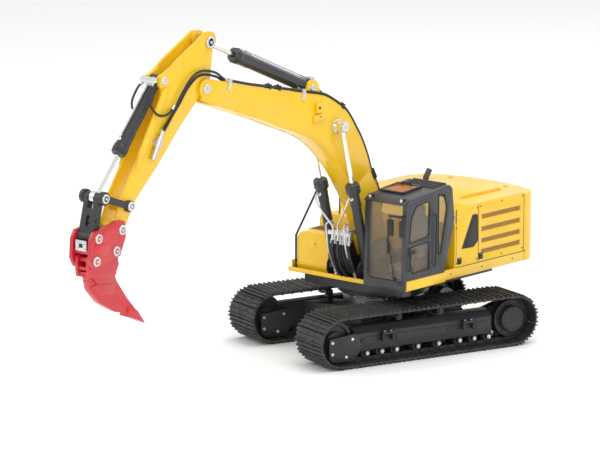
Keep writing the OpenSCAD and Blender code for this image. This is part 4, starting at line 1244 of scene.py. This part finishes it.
@dataclass
class Cab:
    """Seals, wiper, lamps, handles and mirror faces of the cab."""

    out_x: float = 110.0
    in_x: float = 37.0

    def build(self) -> None:
        """Builds the cab's details."""
        self.seals()
        self.wiper()
        self.roof()
        self.fittings()

    def seals(self) -> None:
        """Rubber seals round the panes."""
        fixed, moving = Work(), Work()
        rear = ((-16, 225), (-3, 224), (3, 204), (-10, 142), (-16, 142))
        upper = ((-79, 166), (-75.5, 200), (-64, 216), (-36, 219), (-36, 170))
        lower = ((-79.5, 160), (-36, 163), (-36, 124), (-73, 123))
        fixed.take(self.seal(rear, self.out_x + 0.1))
        moving.take(self.seal(upper, self.out_x + 0.1)).take(self.seal(lower, self.out_x + 0.1))
        fixed.piece("cab_seals", Extra.RUBBER, "upper", 60.0)
        moving.piece("door_seals", Extra.RUBBER, "cab_door", 60.0)

    @staticmethod
    def seal(outline: Sequence[Side], x: float) -> bmesh.types.BMesh:
        """Round rubber strip along a closed outline.

        Args:
            outline: Corners of the pane.
            x: Place across.

        Returns:
            The strip.
        """
        line = []
        for a, b in zip(outline, (*outline[1:], outline[0])):
            line += [at(lerp(a, b, s), x) for s in (0.06, 0.5, 0.94)]
        return tube([*line, line[0]], 0.8, 8)

    def wiper(self) -> None:
        """Wiper arm, its blade and the washer line on the front pane."""
        work = Work()
        work.take(rod(2.2, 3.0, 0.5, 16), aim(Vector((92, -87, 116)), Vector((92, -95, 116))))
        work.take(tube([Vector((92, -90.2, 116)), Vector((88, -90.4, 142)), Vector((82, -89.6, 168))], 0.8, 8))
        work.take(box((79.5, -89.6, 150), (80.9, -87.2, 192), 0.3))
        work.take(box((79.2, -90.6, 166), (82.4, -89.2, 171), 0.3))
        work.piece("cab_wiper", Slot.TRIM, "upper")

    def roof(self) -> None:
        """Hatch frame and its handle, visor edge and roof lamps."""
        work = Work()
        slope = math.atan2(9.0, 86.0)
        place = Matrix.Translation((0, -40.0, 231.4)) @ Matrix.Rotation(slope, 4, "X")
        for low, high in (((40.5, -20.5, -0.8), (43.4, 20.5, 1.8)), ((80.6, -20.5, -0.8), (83.5, 20.5, 1.8)),
                          ((40.5, -20.5, -0.8), (83.5, -17.6, 1.8)), ((40.5, 17.6, -0.8), (83.5, 20.5, 1.8))):
            work.take(box(low, high, 0.5), place)
        work.take(plate(((-90.5, 219.5), (-88.0, 222.5), (-77.5, 227.6), (-77.5, 226.0), (-88.0, 220.6)),
                        self.in_x + 1.5, self.out_x - 1.5, 0.3))
        work.piece("roof_frame", Slot.CAB, "upper")
        handle = Work().take(tube(smooth_path([Vector((x, -27, 234.3 + z)) for x, z in
                                               ((54, -1), (54.4, 2.2), (62, 3.0), (69.6, 2.2), (70, -1))]), 0.9, 8))
        handle.piece("hatch_handle", Slot.TRIM, "upper")
        lamps, lenses = Work(), Work()
        for x in (46.0, 101.0):
            lamps.take(box((x - 4, -86.5, 222.6), (x + 4, -80.5, 228.4), 1.0))
            lenses.take(rod(2.4, 0.7, 0.2, 20), aim(Vector((x, -86.2, 225.5)), Vector((x, -96, 225.5))))
        lamps.piece("roof_lamps", Slot.TRIM, "upper")
        lenses.piece("roof_lamp_lenses", Extra.CLEAR, "upper")

    def fittings(self) -> None:
        """Door lever, grab rails, rear lamp, front treads and mirror faces."""
        door = Work()
        door.take(box((self.out_x - 0.2, -80, 150), (self.out_x + 1.0, -69, 156.5), 0.5))
        door.take(box((self.out_x + 1.0, -77, 152), (self.out_x + 2.4, -67.5, 154.4), 0.5))
        door.take(tube(smooth_path([at(p, self.out_x + d) for p, d in
                                    (((-81.0, 128.0), -0.4), ((-81.2, 130.0), 2.6), ((-81.6, 145.0), 3.2),
                                     ((-81.2, 158.0), 2.6), ((-81.0, 160.0), -0.4))]), 0.9, 8))
        door.piece("door_handles", Slot.TRIM, "cab_door")
        work = Work()
        work.take(rod(4.2, 6.5, 0.9, 28), aim(Vector((103, 17.0, 187)), Vector((104.5, 30.0, 187))))
        work.take(tube(smooth_path([at(p, self.out_x + d) for p, d in
                                    (((-25.5, 128.0), -0.6), ((-25.4, 130.5), 3.0), ((-24.8, 165.0), 3.4),
                                     ((-24.2, 196.0), 3.0), ((-24.0, 198.5), -0.6))]), 1.0, 8))
        for z in (108.5, 112.0):
            work.take(box((self.out_x - 14, -88.6, z), (self.out_x - 3, -86.2, z + 1.4), 0.3))
        work.piece("cab_fittings", Slot.TRIM, "upper")
        lens = Work().take(rod(3.3, 0.8, 0.3, 24), aim(Vector((103.75, 23.3, 187)), Vector((105.25, 36.0, 187))))
        lens.piece("rear_lamp_lens", Extra.LENS, "upper")
        faces = Work()
        for x in (86.0, 107.0):
            faces.take(box((x + 0.9, -94.7, 179.2), (x + 8.1, -94.2, 198.8), 0.2))
        faces.piece("mirror_faces", Extra.MIRROR, "upper")


@dataclass
class Bodywork:
    """Screws, grips, lamps, treads and caps of the upper body."""

    side_x: float = 104.0
    hood_z: float = 198.0

    def build(self) -> None:
        """Builds the bodywork's details."""
        self.screws()
        self.seams()
        self.latches()
        self.grilles()
        self.tank()
        self.hood()
        self.tail()
        self.underframe()

    def screws(self) -> None:
        """Small socket screws in the side panels and skirts."""
        spots = ((32.0, 170.0), (32.0, 120.0), (78.0, 192.0), (78.0, 120.0), (86.0, 193.0), (182.0, 194.0),
                 (182.0, 119.0), (134.0, 194.0), (134.0, 118.5), (20.0, 107.0), (90.0, 107.0), (160.0, 107.0))
        places = [facing(p, s * self.side_x) for p in spots for s in (1, -1)]
        screw = turned([(0, -0.2), (1.15, -0.2), (1.15, 0.35), (0.85, 0.55), (0.55, 0.55), (0.5, 0.1), (0, 0.1)], 12)
        Work().take(screw, *places).piece("panel_screws", Slot.TRIM, "upper")

    def seams(self) -> None:
        """Painted shadow: dark strips laid in the gaps between the side panels, and along the skirt."""
        x = self.side_x
        work = Work()
        for y, low in ((31.4, 114.0), (81.0, 114.0), (184.6, 114.0)):
            work.both(box((x - 1.0, y - 0.4, low), (x + 0.12, y + 0.4, 196.0), 0.05))
        work.both(box((x - 1.0, 31.0, 113.6), (x + 0.12, 190.0, 114.5), 0.05))
        work.piece("panel_seam_shadows", Extra.SEAM_SHADOW, "upper")

    def latches(self) -> None:
        """Paddles and lock pins in the latch plates, and the badge plates' rims."""
        work, locks = Work(), Work()
        for y in (39.0, 87.0):
            work.both(box((self.side_x + 0.3, y - 3.2, 119.4), (self.side_x + 1.3, y + 3.2, 124.4), 0.4))
            locks.both(rod(0.8, 0.5, 0.15, 12), facing((y, 125.7), self.side_x + 0.4))
        work.piece("latch_paddles", Slot.TRIM, "upper")
        locks.piece("latch_locks", Slot.SILVER, "upper")
        rim = ((44.4, 139.3), (68.2, 183.6), (78.7, 182.6), (79.7, 145.2), (69.8, 138.3))
        line = [at(lerp(a, b, s), self.side_x + 0.2) for a, b in zip(rim, (*rim[1:], rim[0])) for s in (0.05, 0.95)]
        Work().both(tube([*line, line[0]], 0.45, 8)).piece("badge_rims", Slot.TRIM, "upper")

    def grilles(self) -> None:
        """Thin frames and mid bars round the wire cloth."""
        work = Work()
        for z0, z1 in ((174, 181.5), (156.5, 164), (140, 147.5), (124.5, 132)):
            x0, x1 = self.side_x - 1.6, self.side_x - 0.5
            work.both(box((x0, 88.0, z0), (x1, 88.8, z1), 0.15))
            work.both(box((x0, 176.2, z0), (x1, 177.0, z1), 0.15))
            work.both(box((x0, 88.0, z0), (x1, 177.0, z0 + 0.7), 0.15))
            work.both(box((x0, 88.0, z1 - 0.7), (x1, 177.0, z1), 0.15))
        work.piece("grille_frames", Slot.YELLOW, "upper")

    def tank(self) -> None:
        """Tank cap, locker door, hinge line and step treads."""
        work = Work()
        work.take(box((-70, -76.7, 136), (-58, -75.6, 148), 0.35))
        work.take(box((-93.3, -77.2, 110.2), (-37.2, -75.9, 111.6), 0.3))
        work.take(box((-88.0, -60.0, 156.6), (-44.0, -34.0, 157.8), 0.5))
        work.piece("tank_panels", Slot.YELLOW, "upper")
        trim = Work()
        trim.take(turned([(0, 0), (7.0, 0), (7.0, 2.2), (6.2, 3.2), (2.2, 3.6), (0, 3.6)], 36),
                  Matrix.Translation((-66.0, 2.0, 175.8)))
        trim.take(box((-72.6, 1.0, 178.8), (-59.4, 3.0, 181.4), 0.6))
        for k in range(5):
            y = -57.0 + 5.0 * k
            trim.take(box((-86.0, y, 157.6), (-46.0, y + 1.4, 158.5), 0.3))
        trim.take(rod(0.9, 0.7, 0.2, 12), aim(Vector((-61, -76.5, 142)), Vector((-61, -80, 142))))
        trim.piece("tank_trim", Slot.TRIM, "upper")

    def hood(self) -> None:
        """Raised hood's grips and exhaust collar."""
        work = Work()
        for x in (-30.0, 34.0):
            work.take(tube(smooth_path([Vector((x + d, 88.0, self.hood_z + h)) for d, h in
                                        ((-9, 1.0), (-8.6, 5.0), (0, 6.0), (8.6, 5.0), (9, 1.0))]), 1.0, 8))
        work.take(turned([(4.3, 0), (8.2, 0), (8.2, 0.9), (5.2, 1.8), (4.3, 1.8)], 28),
                  Matrix.Translation((-20, 118, self.hood_z + 3.9)))
        work.piece("hood_fittings", Slot.TRIM, "upper")

    def tail(self) -> None:
        """Counterweight: tail lamps, vent bars, draw pin and its ears."""
        silver, lenses, trim = Work(), Work(), Work()
        silver.take(rod(3.4, 12.0, 0.8, 24), Matrix.Translation((0, 231.5, 112)))
        silver.piece("tail_draw_pin", Slot.SILVER, "upper")
        for x in (-66.0, 66.0):
            y = math.sqrt(TAIL_RADIUS**2 - x**2)
            place = Matrix.Translation((x, y, 126)) @ Matrix.Rotation(-math.atan2(x, y), 4, "Z")
            trim.take(box((-9, -3.0, -5), (9, 0.6, 5), 0.8), place)
            lenses.take(box((-7.6, 0.2, -3.6), (-0.6, 1.2, 3.6), 0.4), place)
            lenses.take(box((0.6, 0.2, -3.6), (7.6, 1.2, 3.6), 0.4), place)
        for k in range(4):
            trim.take(box((-30, 231.0, 150 + 8 * k), (30, 235.6, 153 + 8 * k), 0.5))
        trim.take(box((-8, 228.0, 108), (8, 235.2, 112), 0.6)).take(box((-8, 228.0, 122), (8, 235.2, 126), 0.6))
        trim.piece("tail_trim", Slot.TRIM, "upper")
        lenses.piece("tail_lamp_lenses", Extra.LENS, "upper")

    def underframe(self) -> None:
        """Ribs below the deck, and the bolts of the upper swing ring."""
        work = Work()
        for x in (-60.0, 60.0):
            work.take(box((x - 3, 100, 84.0), (x + 3, 148, 87.2), 0.6))
        work.piece("underframe_ribs", Slot.FRAME, "upper")
        count, circle, underside = 24, 60.2, 74.8
        ring = [Matrix.Rotation(math.tau * i / count, 4, "Z") @ Matrix.Translation((circle, 0, underside)) @
                Matrix.Rotation(math.pi, 4, "X") for i in range(count)]
        Work().take(hexagon(1.7, 1.3, 2.3), *ring).piece("ring_bolts_upper", Slot.SILVER, "upper")


@dataclass
class ToolTrim:
    """Ribs, lock plate and its bolts of the coupler and the ripper, and the link's cross bar."""

    def build(self) -> None:
        """Builds the tool's details."""
        red, silver, black = Work(), Work(), Work()
        red.both(plate(((-552, 250), (-563, 255.5), (-588, 249), (-586, 243), (-566, 243), (-556, 240)),
                       18.9, 19.6, 0.3))
        red.both(plate(((-574, 232), (-603, 236), (-606, 224), (-594, 216), (-578, 219)), 18.9, 19.7, 0.3))
        red.take(box((-13.0, -606.0, 199.0), (13.0, -590.0, 203.5), 0.8))
        for x in (-3.6, 0.0, 3.6):
            red.take(plate(((-602, 184), (-566, 190), (-551, 170), (-533, 147), (-545, 141), (-579, 156)),
                           x - 0.5 if x else -0.6, x + 0.5 if x else 0.6, 0.2))
        red.both(plate(((-603, 197), (-562, 197), (-553, 178), (-560, 176), (-590, 180)), 4.8, 9.5, 0.5))
        red.both(plate(((-597, 176), (-560, 185), (-548, 168), (-556, 160), (-582, 162)), 4.8, 5.8, 0.35))
        red.piece("tool_ribs", Slot.RED, "tool")
        silver.take(box((-9.5, -609.6, 224.5), (9.5, -607.4, 238.5), 0.5))
        silver.take(hexagon(1.8, 1.4, 2.4), *(aim(Vector((x, -609.4, z)), Vector((x, -620, z)))
                                               for x in (-6.5, 6.5) for z in (227.5, 235.5)))
        silver.piece("lock_plate", Slot.SILVER, "tool")
        # Black block on the lock plate: painted shade of its slot.
        black.take(box((-3.0, -610.3, 229.0), (3.0, -609.2, 234.0), 0.3))
        black.piece("lock_slot_shade", Slot.TRIM, "tool")
        oval = Work().take(rod(2.6, 27.4, 0.5, 20), Matrix.Translation((-13.7, -592.5, 262.0))
                           @ Matrix.Rotation(math.pi / 2, 4, "Y"))
        oval.piece("link_cross_bar", Slot.LINK, "h_link")


@dataclass
class Studio:
    """Floor, light and camera."""

    azimuth: float = 40.47
    elevation: float = 11.61
    roll: float = 0.25
    distance: float = 5.4993
    focal: float = 3949.25
    frame_width: float = 600.0
    across: float = -0.11643
    height: float = 0.16039

    def build(self) -> None:
        """Builds the set."""
        self.floor()
        self.lights()
        self.camera()

    @staticmethod
    def floor() -> None:
        """Pale floor with a faint mottle."""
        bm = bmesh.new()
        bmesh.ops.create_grid(bm, x_segments=1, y_segments=1, size=12.0)
        mesh = bpy.data.meshes.new("floor")
        bm.to_mesh(mesh)
        bm.free()
        graph = Graph("pale_floor")
        shade = graph.blend(graph.noise(0.8), (0.97, 0.97, 0.97), (0.95, 0.95, 0.95))
        graph.links.new(shade, graph.shader.inputs["Base Color"])
        graph.shader.inputs["Roughness"].default_value = 0.75
        mesh.materials.append(graph.material)
        floor = bpy.data.objects.new("floor", mesh)
        bpy.context.scene.collection.objects.link(floor)

    @staticmethod
    def lights() -> None:
        """Soft overhead light, a front fill and a bright even surround."""
        world = bpy.data.worlds.new("studio")
        world.use_nodes = True
        world.node_tree.nodes["Background"].inputs["Color"].default_value = (1.0, 1.0, 1.0, 1.0)
        world.node_tree.nodes["Background"].inputs["Strength"].default_value = 0.86
        bpy.context.scene.world = world
        bpy.context.scene.view_settings.view_transform = "Standard"
        for name, place, size, power in (
            ("overhead", (0.4, 0.2, 2.6), 2.0, 30.0),
            ("front_fill", (1.9, -2.2, 1.3), 1.4, 14.0),
            ("left_fill", (-2.0, -1.6, 1.5), 1.4, 9.0),
            ("back_rim", (-0.6, 2.4, 1.6), 1.2, 8.0),
        ):
            lamp = bpy.data.lights.new(name, "AREA")
            lamp.size = size
            lamp.energy = power
            light = bpy.data.objects.new(name, lamp)
            light.matrix_world = aim(Vector(place), Vector((0.0, -0.1, 0.15))) @ Matrix.Rotation(math.pi, 4, "X")
            bpy.context.scene.collection.objects.link(light)

    def camera(self) -> None:
        """Long lens at the front left, a little above the deck."""
        a, e, r = (math.radians(v) for v in (self.azimuth, self.elevation, self.roll))
        back = Vector((math.sin(a) * math.cos(e), -math.cos(a) * math.cos(e), math.sin(e)))
        right = (-back).cross(Vector((0, 0, 1))).normalized()
        up = right.cross(-back)
        right, up = right * math.cos(r) + up * math.sin(r), up * math.cos(r) - right * math.sin(r)
        centre = right * self.across + Vector((0, 0, self.height))
        place = Matrix((right, up, back)).transposed().to_4x4()
        place.translation = centre + back * self.distance
        lens = bpy.data.cameras.new("camera")
        lens.sensor_width = 36.0
        lens.lens = self.focal / self.frame_width * lens.sensor_width
        lens.clip_end = 60.0
        eye = bpy.data.objects.new("camera", lens)
        eye.matrix_world = place
        bpy.context.scene.collection.objects.link(eye)
        bpy.context.scene.camera = eye


def main() -> None:
    """Builds every sub-assembly in order."""
    logging.basicConfig(level=logging.INFO, format="%(name)s: %(message)s")
    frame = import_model()
    record = frame["record"]
    Skins(frame["nodes"], record["subparts"], record["behaviour"]["bodies"]).build()
    Undercarriage().build()
    for cap in CAPS:
        cap.build()
    for trim in (
        CylinderTrim("boom_cylinder_left", CYL_FOOT, BOOM_ROD_END, 28.6, 129.0, 6.8, "boom_barrel_left", 90.0,
                     30.0, head=2.6),
        CylinderTrim("boom_cylinder_right", CYL_FOOT, BOOM_ROD_END, -28.6, 129.0, 6.8, "boom_barrel_right", 90.0,
                     30.0, head=2.6),
        CylinderTrim("stick_cylinder", STICK_CYL_FOOT, STICK_ROD_END, 0.0, 159.0, 9.0, "stick_barrel", 90.0, -2.0),
        CylinderTrim("bucket_cylinder", BUCKET_CYL_FOOT, BUCKET_ROD_END, 0.0, 113.0, 8.6, "bucket_barrel", 90.0,
                     12.0, head=0.7, neck=25.0),
    ):
        trim.build()
    BoomTrim().build()
    StickTrim().build()
    Plumbing().build()
    Cab().build()
    Bodywork().build()
    ToolTrim().build()
    Studio().build()


if __name__ == "__main__":
    main()
